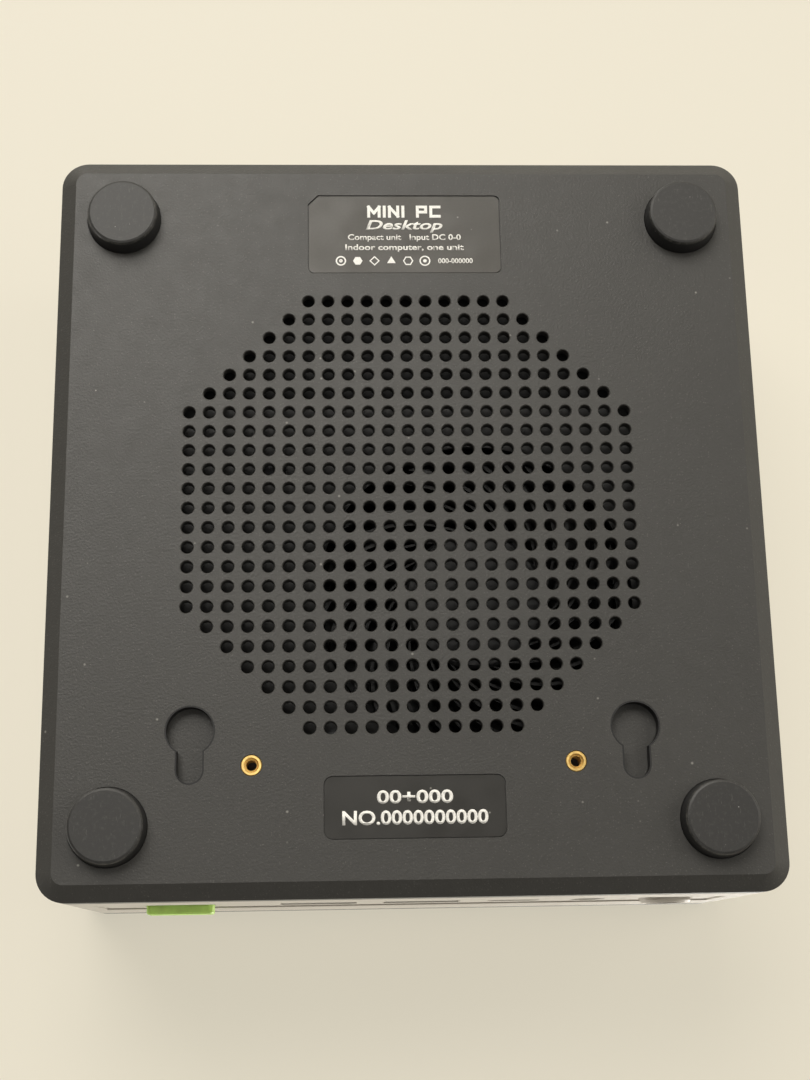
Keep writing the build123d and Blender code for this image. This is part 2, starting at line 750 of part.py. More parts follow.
def service_fan_rotor():
    """A cup hub with nine pitched blades and its shaft."""
    top = FAN_BASE + FAN_H - 0.3
    low = FAN_BASE + 1.9
    cup = turned([
        (0, top), (FAN_HUB_R - 0.6, top), (FAN_HUB_R, top - 0.6), (FAN_HUB_R, low),
        (FAN_HUB_R - 1.2, low), (FAN_HUB_R - 1.2, top - 1.2), (SHAFT_R, top - 1.2),
        (SHAFT_R, FAN_BASE + 1.4), (0, FAN_BASE + 1.4),
    ])
    ring_space = rod(0, 0, low, top - 0.2, FAN_ROTOR_R) - rod(0, 0, low - 1, top, FAN_HUB_R - 0.6)
    blades = []
    for i in range(FAN_BLADES):
        plate = Pos(20, 0, (low + top) / 2) * Rot(38, 0, 0) * Box(18, 11, 0.9)
        blade = Rot(0, 0, i * 360 / FAN_BLADES) * plate
        blades.append(blade & ring_space)
    return Pos(0, FAN_Y, 0) * fused(cup, blades)


def bearing(x, y, z0, z1):
    """A plain sleeve for a fan shaft."""
    sleeve = rod(x, y, z0, z1, BEARING_R)
    return sleeve - rod(x, y, z0 - 1, z1 + 1, SHAFT_R + RUN_GAP)


def coil(x, y, z0, z1, inner, outer, poles):
    """A ring of motor poles around the bearing tube."""
    core = rod(x, y, z0, z1, outer) - rod(x, y, z0 - 1, z1 + 1, inner)
    gaps = [Pos(x, y, 0) * Rot(0, 0, i * 360 / poles) * block(
        inner + 1.2, outer + 1, -0.5, 0.5, z0 - 1, z1 + 1) for i in range(poles)]
    return core.cut(*gaps)


# --------------------------------------------------------------------- cooler

def scroll(grow, z0, z1):
    """The blower's plan: a round scroll that opens towards the rear."""
    reach = SCROLL_R + grow
    drum = rod(BLOWER_X, BLOWER_Y, z0, z1, reach)
    outlet = block(BLOWER_X - reach, BLOWER_X + reach, BLOWER_Y, OUTLET_Y, z0, z1)
    return fused(drum, [outlet])


def blower_ears():
    """Places of the screws that hold the blower."""
    reach = SCROLL_R + EAR_OUT
    slant = reach * math.sqrt(0.5)
    return [(BLOWER_X - reach, 8.0), (BLOWER_X + reach, 8.0),
            (BLOWER_X + slant, BLOWER_Y - slant)]


def blower_cover():
    """The plate towards the vent, with the round intake and the floor of the duct."""
    top = BLOWER_BASE + BLOWER_SKIN
    plate = slab(BLOWER_PLATE_W, BLOWER_PLATE_D, BLOWER_BASE, top, 3.0,
                 BLOWER_PLATE_X, BLOWER_PLATE_Y)
    duct = block(BLOWER_X - SCROLL_R, BLOWER_X + SCROLL_R, 0, FIN_Y1, BLOWER_BASE, top)
    low = BLOWER_BASE - 0.3
    outer = INTAKE_R + 0.9
    rim = turned([(INTAKE_R, top), (INTAKE_R, low), (outer, low), (outer, top)])
    rim = Pos(BLOWER_X, BLOWER_Y, 0) * rim
    plate = fused(plate, [duct, rim])
    cuts = [rod(BLOWER_X, BLOWER_Y, 0, BOARD_BASE, INTAKE_R)]
    cuts += [rod(x, y, 0, BOARD_BASE, M2_R + 0.2) for x, y in blower_ears()]
    return plate.cut(*cuts)


def blower_housing():
    """The scroll: its wall, its back and the bearing tube."""
    low = BLOWER_BASE + BLOWER_SKIN + SEAT
    body = scroll(0, low, BLOWER_TOP)
    room = scroll(-SCROLL_WALL, low - 1, BLOWER_TOP - 1.0)
    mouth = block(BLOWER_X - SCROLL_R + SCROLL_WALL, BLOWER_X + SCROLL_R - SCROLL_WALL,
                  OUTLET_Y - 3, OUTLET_Y + 1, low - 1, BLOWER_TOP - 1.0)
    body = body.cut(room, mouth)
    ears = [rod(x, y, low, low + EAR_H, EAR_R) for x, y in blower_ears()]
    tube = rod(BLOWER_X, BLOWER_Y, BEARING_BASE, BLOWER_TOP - 0.5, BEARING_R + 1.0)
    body = fused(body, ears)
    body = body.cut(room)
    body = fused(body, [tube])
    cuts = [rod(BLOWER_X, BLOWER_Y, 0, BLOWER_TOP - 0.5, BEARING_R + 0.01)]
    cuts += [rod(x, y, 0, BOARD_BASE, M2_R + THREAD_GAP) for x, y in blower_ears()]
    return body.cut(*cuts)


def spiral(radius, start):
    """A point on a blade's curve."""
    turn = math.tan(math.radians(BLADE_SWEEP)) * math.log(radius / HUB_R)
    angle = math.radians(start) - turn
    return (radius * math.cos(angle), radius * math.sin(angle))


def blower_blade(start):
    """One swept blade."""
    inner = HUB_R - 0.5
    middle = (HUB_R + IMPELLER_R) / 2
    front = [spiral(r, start) for r in (inner, middle, IMPELLER_R)]
    back = [spiral(r, start + BLADE_TURN) for r in (inner, middle, IMPELLER_R)]
    edges = [ThreePointArc(*front), Line(front[2], back[2]),
             ThreePointArc(*reversed(back)), Line(back[0], front[0])]
    return Pos(0, 0, BLADE_BASE) * extrude(make_face(edges), BLADE_TOP - BLADE_BASE)


def blower_rotor():
    """The hub cup, its shaft and the swept blades."""
    cup = turned([
        (0, HUB_BASE), (HUB_R - 0.5, HUB_BASE), (HUB_R, HUB_BASE + 0.5), (HUB_R, BLADE_TOP),
        (HUB_R - HUB_WALL, BLADE_TOP), (HUB_R - HUB_WALL, HUB_BASE + HUB_WALL),
        (SHAFT_R, HUB_BASE + HUB_WALL), (SHAFT_R, BLOWER_TOP - 1.2), (0, BLOWER_TOP - 1.2),
    ])
    hoop = rod(0, 0, BLADE_TOP - 1.0, BLADE_TOP, IMPELLER_R + 0.2)
    hoop -= rod(0, 0, 0, 30, IMPELLER_R - 0.7)
    blades = [blower_blade(i * 360 / BLADES) for i in range(BLADES)]
    return Pos(BLOWER_X, BLOWER_Y, 0) * fused(cup, blades + [hoop])


def cooler_fins():
    """A pack of upright fins, in line with the rear exhaust."""
    left = BLOWER_X - SCROLL_R
    step = (2 * SCROLL_R - FIN_T) / (FIN_COUNT - 1)
    low = BLOWER_BASE + BLOWER_SKIN + 0.4
    fins = []
    for i in range(FIN_COUNT):
        x = left + i * step
        fins.append(block(x, x + FIN_T, FIN_Y0, FIN_Y1, low, BLOWER_TOP))
    spine = block(left, left + 2 * SCROLL_R, FIN_Y0 + 2, FIN_Y1 - 2, BLOWER_TOP - 0.5, BLOWER_TOP)
    return fused(spine, fins)


def heat_pipes():
    """Two copper pipes from the processor plate to the fin pack."""
    z = BLOWER_TOP + SEAT + PIPE_R
    first = lead([(27, -44, z), (31, -24, z), (33, 4, z), (26, 28, z), (4, 41, z),
                  (-38, 43.5, z)], PIPE_R)
    second = lead([(34, -44, z), (38, -22, z), (41, 8, z), (34, 34, z), (12, 49, z),
                   (-38, 51.5, z)], PIPE_R)
    return group([first, second])


def cooler_plate():
    """The copper plate that presses on the processor."""
    top = BOARD_BASE - CHIP_H - 0.9
    low = BLOWER_TOP + 2 * SEAT + 2 * PIPE_R
    plate = slab(34, 30, low, top, 1.5, CHIP_X, CHIP_Y)
    arms = [slab(44, 4, low, top, 1, CHIP_X, CHIP_Y), slab(4, 38, low, top, 1, CHIP_X, CHIP_Y)]
    return fused(plate, arms)


def processor():
    """The processor package under the board."""
    carrier = slab(CHIP_W, CHIP_D, BOARD_BASE - CHIP_H - SEAT, BOARD_BASE - SEAT, 0.6,
                   CHIP_X, CHIP_Y)
    top = BOARD_BASE - CHIP_H + 0.1
    die = slab(DIE_W, DIE_D, top - DIE_H, top, 0.3, CHIP_X, CHIP_Y)
    return fused(carrier, [die])


# ---------------------------------------------------------------------- board

def main_board():
    """The circuit board on its four posts."""
    board = slab(BOARD_W, BOARD_D, BOARD_BASE + SEAT, BOARD_TOP, BOARD_R)
    cuts = [rod(x, y, 0, MID_TOP, M25_R + 0.15) for x, y in corners(FOOT_X, FOOT_Y)]
    cuts.append(block(BUTTON_X - 7, BUTTON_X + 7, -HALF_D, -56, 0, MID_TOP))
    return board.cut(*cuts)


def board_parts():
    """Chokes, capacitors and chips on the board's upper face."""
    z = PARTS_BASE
    pieces = [slab(CHOKE_W, CHOKE_W, z, z + CHOKE_H, 0.8, CHOKE_X, CHOKE_Y + CHOKE_STEP * i)
              for i in range(5)]
    pieces += [rod(CAN_X, CAN_Y + CAN_STEP * i, z, z + CAN_H, CAN_R) for i in range(4)]
    pieces += [slab(11, 11, z, z + 1.0, 0.3, -25, 33), slab(7, 7, z, z + 0.9, 0.3, -44, 33)]
    pieces += [slab(16, 8, z, z + 4.6, 0.5, 10, 41)]
    return group(pieces)


def memory_module(z):
    """A memory module: its card and its chips."""
    card = block(MEMORY_X0, MEMORY_X1, MEMORY_Y0, MEMORY_Y1, z, z + CARD_T)
    chips = []
    for i in range(MEMORY_CHIPS):
        x = MEMORY_X0 + 6 + MEMORY_CHIP_STEP * i
        chips.append(block(x, x + MEMORY_CHIP_W, -17, -2, z + CARD_T - 0.05, z + CARD_T + 0.9))
    notch = block(-9.6, -8.0, MEMORY_Y0 - 1, MEMORY_Y0 + 4, z - 1, z + 2)
    return fused(card, chips) - notch


def memory_sockets():
    """Two stacked sockets with side arms."""
    fit = 0.3
    arm_x0 = MEMORY_X0 - fit
    arm_x1 = MEMORY_X1 + fit
    pieces = []
    low = PARTS_BASE
    for z, back, top in zip(MEMORY_Z, MEMORY_BAR_Y, MEMORY_BAR_TOP):
        bar = block(arm_x0 - 1.2, arm_x1 + 1.2, back, MEMORY_Y0 + 1.4, low, PARTS_BASE + top)
        arms = [block(arm_x0 - MEMORY_ARM_W, arm_x0, -34, 2, low, z + CARD_T),
                block(arm_x1, arm_x1 + MEMORY_ARM_W, -34, 2, low, z + CARD_T)]
        slot = block(arm_x0, arm_x1, MEMORY_Y0 - 0.1, -20, z - 0.06, z + CARD_T + 0.06)
        pieces.append(fused(bar, arms) - slot)
        low = PARTS_BASE + top + 0.2
    return group(pieces)


def ssd_socket():
    """The edge socket of the drive and its stand."""
    half = DRIVE_SOCKET_D / 2
    socket = block(26, 31.5, DRIVE_Y - half, DRIVE_Y + half, PARTS_BASE, PARTS_BASE + DRIVE_SOCKET_H)
    socket -= block(25, DRIVE_X1 + 0.2, DRIVE_Y - half - 1, DRIVE_Y + half + 1,
                    DRIVE_Z - 0.1, DRIVE_Z + DRIVE_T + 0.1)
    stand = rod(DRIVE_X0, DRIVE_Y, PARTS_BASE, DRIVE_Z - 0.08, 2.6)
    stand -= rod(DRIVE_X0, DRIVE_Y, 0, MID_TOP, M2_R + THREAD_GAP)
    return group([socket, stand])


def ssd_module():
    """The solid-state drive: its card and its chips."""
    half = DRIVE_W / 2
    top = DRIVE_Z + DRIVE_T
    card = block(DRIVE_X0, DRIVE_X1, DRIVE_Y - half, DRIVE_Y + half, DRIVE_Z, top)
    card -= rod(DRIVE_X0, DRIVE_Y, 0, MID_TOP, 1.75)
    chips = [block(x, x + 14, DRIVE_Y - 8.5, DRIVE_Y + 8.5, top - 0.05, SPREADER_Z - 0.1)
             for x in (-34, -14, 7)]
    return fused(card, chips)


def drive_spreader():
    """A finned aluminium spreader on the drive."""
    y0 = DRIVE_Y - 10.5
    y1 = DRIVE_Y + 10.5
    top = SPREADER_Z + SPREADER_T
    base = block(SPREADER_X0, SPREADER_X1, y0, y1, SPREADER_Z, top)
    ribs = []
    for i in range(9):
        y = y0 + SPREADER_RIB_STEP * i
        ribs.append(block(SPREADER_X0, SPREADER_X1, y, y + SPREADER_RIB_T, top - 0.1, SPREADER_TOP))
    return fused(base, ribs)


def wireless_card():
    """The radio card with its shield and two coaxial sockets."""
    top = RADIO_Z + DRIVE_T
    card = block(RADIO_X0, RADIO_X1, RADIO_Y0, RADIO_Y1, RADIO_Z, top)
    shield = block(RADIO_X0 + 1.5, RADIO_X1 - 1.5, 9, RADIO_Y1 - 1.5, top - 0.05, top + 1.6)
    nuts = [rod(x, y, top - 0.05, RADIO_NUT_TOP, RADIO_NUT_R) for x, y in RADIO_NUTS]
    foot_block = block(RADIO_X0, RADIO_X1, RADIO_Y1 - 3.5, RADIO_Y1, PARTS_BASE, RADIO_Z + 0.05)
    return fused(card, [shield, foot_block] + nuts)


def antennas():
    """Two flat antennas against the side walls."""
    strip = block(ANTENNA_X - ANTENNA_T, ANTENNA_X, ANTENNA_Y0, ANTENNA_Y1, ANTENNA_Z0, ANTENNA_Z1)
    return group([strip, mirror(strip, Plane.YZ)])


def clock_battery():
    """The coin cell in its holder."""
    low = PARTS_BASE + CELL_FLOOR
    holder = slab(CELL_HOLDER_W, CELL_HOLDER_W, PARTS_BASE, PARTS_BASE + CELL_HOLDER_H, 1.0,
                  CELL_X, CELL_Y)
    holder -= rod(CELL_X, CELL_Y, low, MID_TOP, CELL_R + 0.2)
    cell = rod(CELL_X, CELL_Y, low + 0.02, low + 0.02 + CELL_H, CELL_R)
    return group([holder, cell])


# ---------------------------------------------------------------------- ports

def usb_a_room(x, z, deep):
    """The room in a flat-plug socket."""
    return bar_y(USB_A_ROOM_W, USB_A_ROOM_H, x, z, -1, deep, 0.3)


def usb_a_tongue(x, z, deep):
    """The contact tongue in a flat-plug socket."""
    half = USB_A_TONGUE_W / 2
    return block(x - half, x + half, TONGUE_SET, deep, z + USB_A_TONGUE_LOW, z + USB_A_TONGUE_HIGH)


def usb_a_port(x, z, deep):
    """A flat-plug socket shell with its tongue, open towards -Y at y = 0."""
    shell = bar_y(USB_A_W, USB_A_H, x, z, 0, deep, 0.4)
    shell -= usb_a_room(x, z, deep - PORT_BACK)
    return fused(shell, [usb_a_tongue(x, z, deep - 1)])


def base_feet(x, width, z_low, deep):
    """The insulating foot between a port shell and the board."""
    return block(x - width / 2, x + width / 2, 1.5, deep, PARTS_BASE, z_low + 0.05)


def front_usb_a(x):
    """A front socket on its foot."""
    port = usb_a_port(x, PORT_Z, USB_A_DEEP)
    support = base_feet(x, USB_A_W - 0.6, PORT_Z - USB_A_H / 2, USB_A_DEEP - 3)
    return front_place() * fused(port, [Pos(0, 3, 0) * support])


def usb_c_port(x):
    """A small oval socket with its centre tongue, open towards -Y at y = 0."""
    shell = bar_y(USB_C_W, USB_C_H, x, PORT_Z, 0, USB_C_DEEP, 1.4)
    shell -= bar_y(USB_C_ROOM_W, USB_C_ROOM_H, x, PORT_Z, -1, USB_C_DEEP - PORT_BACK, 1.25)
    half = USB_C_TONGUE_W / 2
    half_t = USB_C_TONGUE_T / 2
    tongue = block(x - half, x + half, 1.0, USB_C_DEEP - 1, PORT_Z - half_t, PORT_Z + half_t)
    low = PORT_Z - USB_C_H / 2
    return fused(shell, [tongue, Pos(0, 3, 0) * base_feet(x, 7.0, low, USB_C_DEEP - 3)])


def front_place():
    """From a socket's own frame to the front panel."""
    return Pos(0, -HALF_D + PANEL_SET + PORT_SET, 0)


def rear_place(shape):
    """From a socket's own frame to the rear panel: turned about Z."""
    return Pos(0, HALF_D - PORT_SET, 0) * (Rot(0, 0, 180) * shape)


def audio_jack():
    """A round headset socket."""
    sleeve = rod_y(AUDIO_X, PORT_Z, 0, 3.4, AUDIO_SLEEVE_R)
    body = block(AUDIO_X - 3.2, AUDIO_X + 3.2, 3.0, AUDIO_DEEP + PORT_BACK, PARTS_BASE, PORT_Z + 3.0)
    jack = fused(sleeve, [body])
    return front_place() * (jack - rod_y(AUDIO_X, PORT_Z, -1, AUDIO_DEEP, AUDIO_R))


def expansion_port():
    """The external-graphics socket: a metal shell with a centre tongue."""
    y0 = EXPANSION_SET
    wall = 2 * EXPANSION_WALL
    shell = bar_y(EXPANSION_W, EXPANSION_H, EXPANSION_X, PORT_Z, y0, y0 + EXPANSION_DEEP, 0.5)
    shell -= bar_y(EXPANSION_W - wall, EXPANSION_H - wall, EXPANSION_X, PORT_Z, y0 - 1,
                   y0 + EXPANSION_DEEP - PORT_BACK, 0.4)
    tongue = block(EXPANSION_X - 4.0, EXPANSION_X + 4.0, y0 + 4.2, y0 + EXPANSION_DEEP - 1,
                   PORT_Z - 0.5, PORT_Z + 0.5)
    foot_block = base_feet(EXPANSION_X, 9.6, PORT_Z - EXPANSION_H / 2, y0 + EXPANSION_DEEP)
    foot_block -= block(EXPANSION_X - 10, EXPANSION_X + 10, 0, 5.5, 0, BODY_H)
    return front_place() * fused(shell, [tongue, foot_block])


def expansion_plug():
    """The soft dust plug: a flange with a grip edge and a blade in the socket."""
    front = -HALF_D - PLUG_PROUD
    flange = bar_y(PLUG_W, PLUG_H, EXPANSION_X, PORT_Z, front, front + PLUG_FLANGE_T, 0.9)
    flange = chamfer(flange.faces().sort_by(Axis.Y)[0].edges(), 0.25)
    blade = bar_y(PLUG_BLADE_W, PLUG_BLADE_H, EXPANSION_X, PORT_Z, front + PLUG_FLANGE_T - 0.5,
                  front + PLUG_LEN, 0.4)
    slot = block(EXPANSION_X - 4.3, EXPANSION_X + 4.3, front + 7.0, front + 9, PORT_Z - 0.8,
                 PORT_Z + 0.8)
    return fused(flange, [blade]) - slot


def dc_jack():
    """The round power inlet with its centre pin."""
    z = PORT_Z + DC_RAISE
    case = block(DC_X - 4.5, DC_X + 4.5, 2.5, DC_DEEP, PARTS_BASE, z + 4.6)
    body = fused(rod_y(DC_X, z, 0, 3, DC_SLEEVE_R), [case])
    body -= rod_y(DC_X, z, -1, DC_DEEP - PORT_BACK, DC_BORE_R)
    pin = rod_y(DC_X, z, TONGUE_SET, DC_DEEP - 0.6, DC_PIN_R)
    return rear_place(mirror(fused(body, [pin]), Plane.YZ))


def lan_port(x):
    """A network socket with its latch notch and two lamps."""
    z0 = PARTS_BASE
    body = block(x - LAN_W / 2, x + LAN_W / 2, 0, LAN_DEEP, z0, z0 + LAN_H)
    half = LAN_ROOM_W / 2
    room = block(x - half, x + half, -1, LAN_DEEP - 4, z0 + LAN_ROOM_LOW, z0 + LAN_ROOM_HIGH)
    half = LAN_LATCH_W / 2
    latch = block(x - half, x + half, -1, LAN_DEEP - 8, z0 + LAN_ROOM_HIGH - 0.1,
                  z0 + LAN_LATCH_HIGH)
    half = LAN_LAMP_W / 2
    lamps = []
    for side in (-1, 1):
        at = x + side * LAN_LAMP_X
        lamps.append(block(at - half, at + half, -1, 0.3, z0 + LAN_LAMP_LOW, z0 + LAN_LAMP_HIGH))
    return rear_place(mirror(body.cut(room, latch, *lamps), Plane.YZ))


def video_port(x):
    """A display socket: a flat shell with a tongue."""
    low = PORT_Z - VIDEO_H / 2
    shell = bar_y(VIDEO_W, VIDEO_H, x, PORT_Z, 0, VIDEO_DEEP, 0.5)
    wall = 2 * VIDEO_WALL
    shell -= bar_y(VIDEO_W - wall, VIDEO_H - wall, x, PORT_Z, -1, VIDEO_DEEP - PORT_BACK, 0.3)
    half = VIDEO_TONGUE_W / 2
    tongue = block(x - half, x + half, TONGUE_SET, VIDEO_DEEP - 1, PORT_Z + 0.1,
                   PORT_Z + 0.1 + VIDEO_TONGUE_T)
    port = fused(shell, [tongue, Pos(0, 3, 0) * base_feet(x, VIDEO_W - 2, low, VIDEO_DEEP - 3)])
    return rear_place(mirror(port, Plane.YZ))


def usb_stack():
    """Two flat-plug sockets in one tall shell."""
    shell = bar_y(USB_A_W, STACK_H, STACK_X, PARTS_BASE + STACK_H / 2, 0, STACK_DEEP, 0.4)
    rows = [PARTS_BASE + row for row in STACK_ROWS]
    rooms = [usb_a_room(STACK_X, z, STACK_DEEP - PORT_BACK) for z in rows]
    tongues = [usb_a_tongue(STACK_X, z, STACK_DEEP - 1) for z in rows]
    return rear_place(mirror(fused(shell.cut(*rooms), tongues), Plane.YZ))


def power_button():
    """The round button with a collar behind the panel."""
    front = -HALF_D - BUTTON_PROUD + PANEL_SET
    cap = rod_y(BUTTON_X, PORT_Z, front, -HALF_D + 3.6, BUTTON_R)
    cap = chamfer(cap.faces().sort_by(Axis.Y)[0].edges(), 0.4)
    collar = rod_y(BUTTON_X, PORT_Z, -HALF_D + BUTTON_COLLAR_SET, -HALF_D + BUTTON_BACK,
                   BUTTON_COLLAR_R)
    dish = rod_y(BUTTON_X, PORT_Z, front - 1, front + 0.25, BUTTON_R - 1.1)
    return fused(cap, [collar]) - dish


def power_switch():
    """The push switch behind the button on its small board."""
    y = -HALF_D + BUTTON_BACK + BUTTON_TRAVEL + 0.3
    card = block(BUTTON_X - 6.5, BUTTON_X + 6.5, y + 3.5, y + 4.7, PARTS_BASE, PORT_Z + 6)
    body = block(BUTTON_X - 3, BUTTON_X + 3, y + 0.8, y + 3.6, PORT_Z - 3, PORT_Z + 3)
    plunger = rod_y(BUTTON_X, PORT_Z, y, y + 1, 1.7)
    return fused(card, [body, plunger])


# ---------------------------------------------------------------------- leads

def antenna_leads():
    """Two coaxial leads from the radio card to the antennas."""
    z = 39.6
    low = RADIO_NUT_TOP + 0.1
    (right_x, y), (left_x, _) = RADIO_NUTS
    right = lead([(right_x, y, low), (right_x, y, 36.5), (41, -6, z), (49, -14, z),
                  (57.6, -16, 37)], COAX_R)
    left = lead([(left_x, y, low), (left_x, y, 35.5), (44, 8, 38.5), (20, 8.2, z), (-12, 7.6, z),
                 (-40, 6.6, z), (-57.6, -2, 37)], COAX_R)
    return group([right, left])


def blower_lead():
    """The blower's lead to the board."""
    z = BLOWER_TOP + 1.4
    return lead([(BLOWER_X - 6, BLOWER_Y, z), (BLOWER_X - 18, BLOWER_Y - 3, z), (-42, -26, z + 0.3),
                 (-49, -40, z + 1.6)], LEAD_R)


def service_fan_lead():
    """The service fan's lead to the board."""
    return lead([(-30.5, 10, 42.0), (-40, 14, 41.6), (-50, 9, 38.0), (-54, 0, 33.0)], LEAD_R)


def write_all():
    """Write every sub-part."""
    save("bottom_cover", bottom_cover())
    for name, x, y in (("front_left", -1, -1), ("front_right", 1, -1),
                       ("rear_left", -1, 1), ("rear_right", 1, 1)):
        save(f"foot_{name}", foot(x * FOOT_X, y * FOOT_Y))
    save("mount_inserts", mount_inserts())
    save("rating_label", label(rating_outline))
    save("serial_label", label(serial_outline))
    save("case_screws", group([screw(x, y, CASE_SCREW_SEAT, CASE_SCREW_LEN, CASE_SCREW_HEAD_R,
                                     CASE_SCREW_HEAD_H, M3_R) for x, y in corners(FOOT_X, FOOT_Y)]))
    save("mid_shell", mid_shell())
    save("front_panel", front_panel())
    save("rear_panel", rear_panel())
    save("top_shell", top_shell())
    save("top_lid", top_lid())
    save("service_plate", service_plate())
    save("service_fan_frame", service_fan_frame())
    save("service_fan_rotor", service_fan_rotor())
    save("service_fan_bearing", bearing(0, FAN_Y, FAN_BASE + 0.82, FAN_BASE + FAN_TUBE_H))
    save("service_fan_coil", coil(0, FAN_Y, FAN_BASE + FAN_COIL_LOW, FAN_BASE + FAN_COIL_HIGH,
                                  COIL_INNER_R, FAN_COIL_R, FAN_COIL_POLES))
    fan_screws = [hung_screw(x, y, FAN_BASE + FAN_H + SEAT, FAN_H + 0.8, TINY_HEAD_R, 1.1, M2_R)
                  for x, y in fan_screw_places()]
    plate_screws = [hung_screw(x, y, FAN_BASE + SEAT, 2.7, SMALL_HEAD_R, SMALL_HEAD_H, M25_R)
                    for x, y in corners(LEDGE_X, LEDGE_Y)]
    save("service_screws", group(fan_screws + plate_screws))
    save("service_fan_lead", service_fan_lead())
    save("blower_cover", blower_cover())
    save("blower_housing", blower_housing())
    save("blower_rotor", blower_rotor())
    save("blower_bearing", bearing(BLOWER_X, BLOWER_Y, BEARING_BASE, BLOWER_TOP - 0.52))
    save("blower_coil", coil(BLOWER_X, BLOWER_Y, BEARING_BASE, COIL_TOP, COIL_INNER_R,
                             COIL_OUTER_R, COIL_POLES))
    save("blower_screws", group([screw(x, y, BLOWER_BASE, 3.6, TINY_HEAD_R, TINY_HEAD_H, M2_R)
                                 for x, y in blower_ears()]))
    save("blower_lead", blower_lead())
    save("cooler_fins", cooler_fins())
    save("heat_pipes", heat_pipes())
    save("cooler_plate", cooler_plate())
    save("processor", processor())
    save("main_board", main_board())
    drive_screw = hung_screw(DRIVE_X0, DRIVE_Y, DRIVE_Z + DRIVE_T + SEAT, 3.0, 2.1, 0.8, M2_R)
    board_screws = [hung_screw(x, y, PARTS_BASE, 5.4, SMALL_HEAD_R, SMALL_HEAD_H, M25_R)
                    for x, y in corners(FOOT_X, FOOT_Y)]
    save("board_screws", group(board_screws + [drive_screw]))
    save("board_parts", board_parts())
    save("memory_sockets", memory_sockets())
    save("memory_module_lower", memory_module(MEMORY_Z[0]))
    save("memory_module_upper", memory_module(MEMORY_Z[1]))
    save("ssd_socket", ssd_socket())
    save("ssd_module", ssd_module())
    save("drive_spreader", drive_spreader())
    save("wireless_card", wireless_card())
    save("antennas", antennas())
    save("antenna_leads", antenna_leads())
    save("clock_battery", clock_battery())
    save("power_button", power_button())
    save("power_switch", power_switch())
    save("front_usb_port_a", front_usb_a(FRONT_USB_A_X[0]))
    save("front_usb_port_b", front_usb_a(FRONT_USB_A_X[1]))
    save("front_usb_c_port", front_place() * usb_c_port(FRONT_USB_C_X))
    save("audio_jack", audio_jack())
    save("expansion_port", expansion_port())
    save("expansion_plug", expansion_plug())
    save("dc_jack", dc_jack())
    save("lan_port_a", lan_port(LAN_X[0]))
    save("lan_port_b", lan_port(LAN_X[1]))
    save("video_port_a", video_port(VIDEO_X[0]))
    save("video_port_b", video_port(VIDEO_X[1]))
    save("rear_usb_ports", usb_stack())
    save("rear_usb_c_port", rear_place(mirror(usb_c_port(REAR_USB_C_X), Plane.YZ)))


write_all()
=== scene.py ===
import json
import math

import bmesh
import bpy
from mathutils import Matrix, Vector


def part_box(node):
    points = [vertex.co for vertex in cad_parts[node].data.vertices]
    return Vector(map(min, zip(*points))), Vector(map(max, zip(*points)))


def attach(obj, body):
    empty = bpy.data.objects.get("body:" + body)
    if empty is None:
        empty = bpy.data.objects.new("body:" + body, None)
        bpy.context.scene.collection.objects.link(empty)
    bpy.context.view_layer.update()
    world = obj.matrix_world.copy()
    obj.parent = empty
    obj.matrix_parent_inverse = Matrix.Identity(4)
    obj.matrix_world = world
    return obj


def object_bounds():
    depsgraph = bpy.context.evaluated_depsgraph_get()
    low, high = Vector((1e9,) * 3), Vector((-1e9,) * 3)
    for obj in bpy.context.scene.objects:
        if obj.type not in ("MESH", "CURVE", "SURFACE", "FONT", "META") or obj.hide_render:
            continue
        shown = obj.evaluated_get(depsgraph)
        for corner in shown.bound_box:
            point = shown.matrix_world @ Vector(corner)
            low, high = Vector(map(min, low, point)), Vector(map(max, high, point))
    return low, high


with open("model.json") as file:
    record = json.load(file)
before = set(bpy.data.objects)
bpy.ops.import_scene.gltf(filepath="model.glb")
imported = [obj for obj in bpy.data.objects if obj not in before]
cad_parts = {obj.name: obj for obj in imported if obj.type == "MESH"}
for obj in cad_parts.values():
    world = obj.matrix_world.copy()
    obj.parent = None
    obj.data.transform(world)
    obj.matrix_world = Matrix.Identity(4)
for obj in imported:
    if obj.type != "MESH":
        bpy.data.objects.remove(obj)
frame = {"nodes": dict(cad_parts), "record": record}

# Mini PC in the CAD frame: +Z up, feet on z = 0, front towards -Y. Blender's unit is the metre.

cad_low, cad_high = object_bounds()
MM = 0.001
NODES = frame["nodes"]
TOP = cad_high.z

# Colours, linear
COVER = (0.046, 0.045, 0.043)
RUBBER = (0.011, 0.011, 0.012)
SILVER = (0.55, 0.515, 0.46)
BUTTON = (0.50, 0.47, 0.43)
PANEL = (0.028, 0.028, 0.030)
LID = (0.034, 0.034, 0.037)
PLASTIC_BLACK = (0.012, 0.012, 0.013)
LEAD_BLACK = (0.012, 0.012, 0.012)
JACK_BLACK = (0.014, 0.014, 0.015)
PART_BLACK = (0.02, 0.02, 0.021)
TAPE_BLACK = (0.006, 0.006, 0.007)
# Black for the painted shade on the keyholes' walls
KEYHOLE_SHADE_BLACK = (0.008, 0.008, 0.009)
ROTOR = (0.045, 0.046, 0.048)
BLOWER_GREY = (0.060, 0.060, 0.060)
PLUG_GREEN = (0.550, 0.840, 0.200)
PLUG_LINT = (0.55, 0.62, 0.40)
TONGUE_BLUE = (0.010, 0.070, 0.300)
RATING_FILM = (0.052, 0.048, 0.042)
SERIAL_FILM = (0.021, 0.020, 0.018)
ANTENNA_FILM = (0.62, 0.38, 0.12)
STICKER_FILM = (0.30, 0.30, 0.31)
INK = (0.93, 0.92, 0.89)
BRASS = (0.95, 0.66, 0.24)
THREAD_BRASS = (0.62, 0.38, 0.10)
BRONZE = (0.62, 0.40, 0.20)
GOLD = (0.90, 0.66, 0.26)
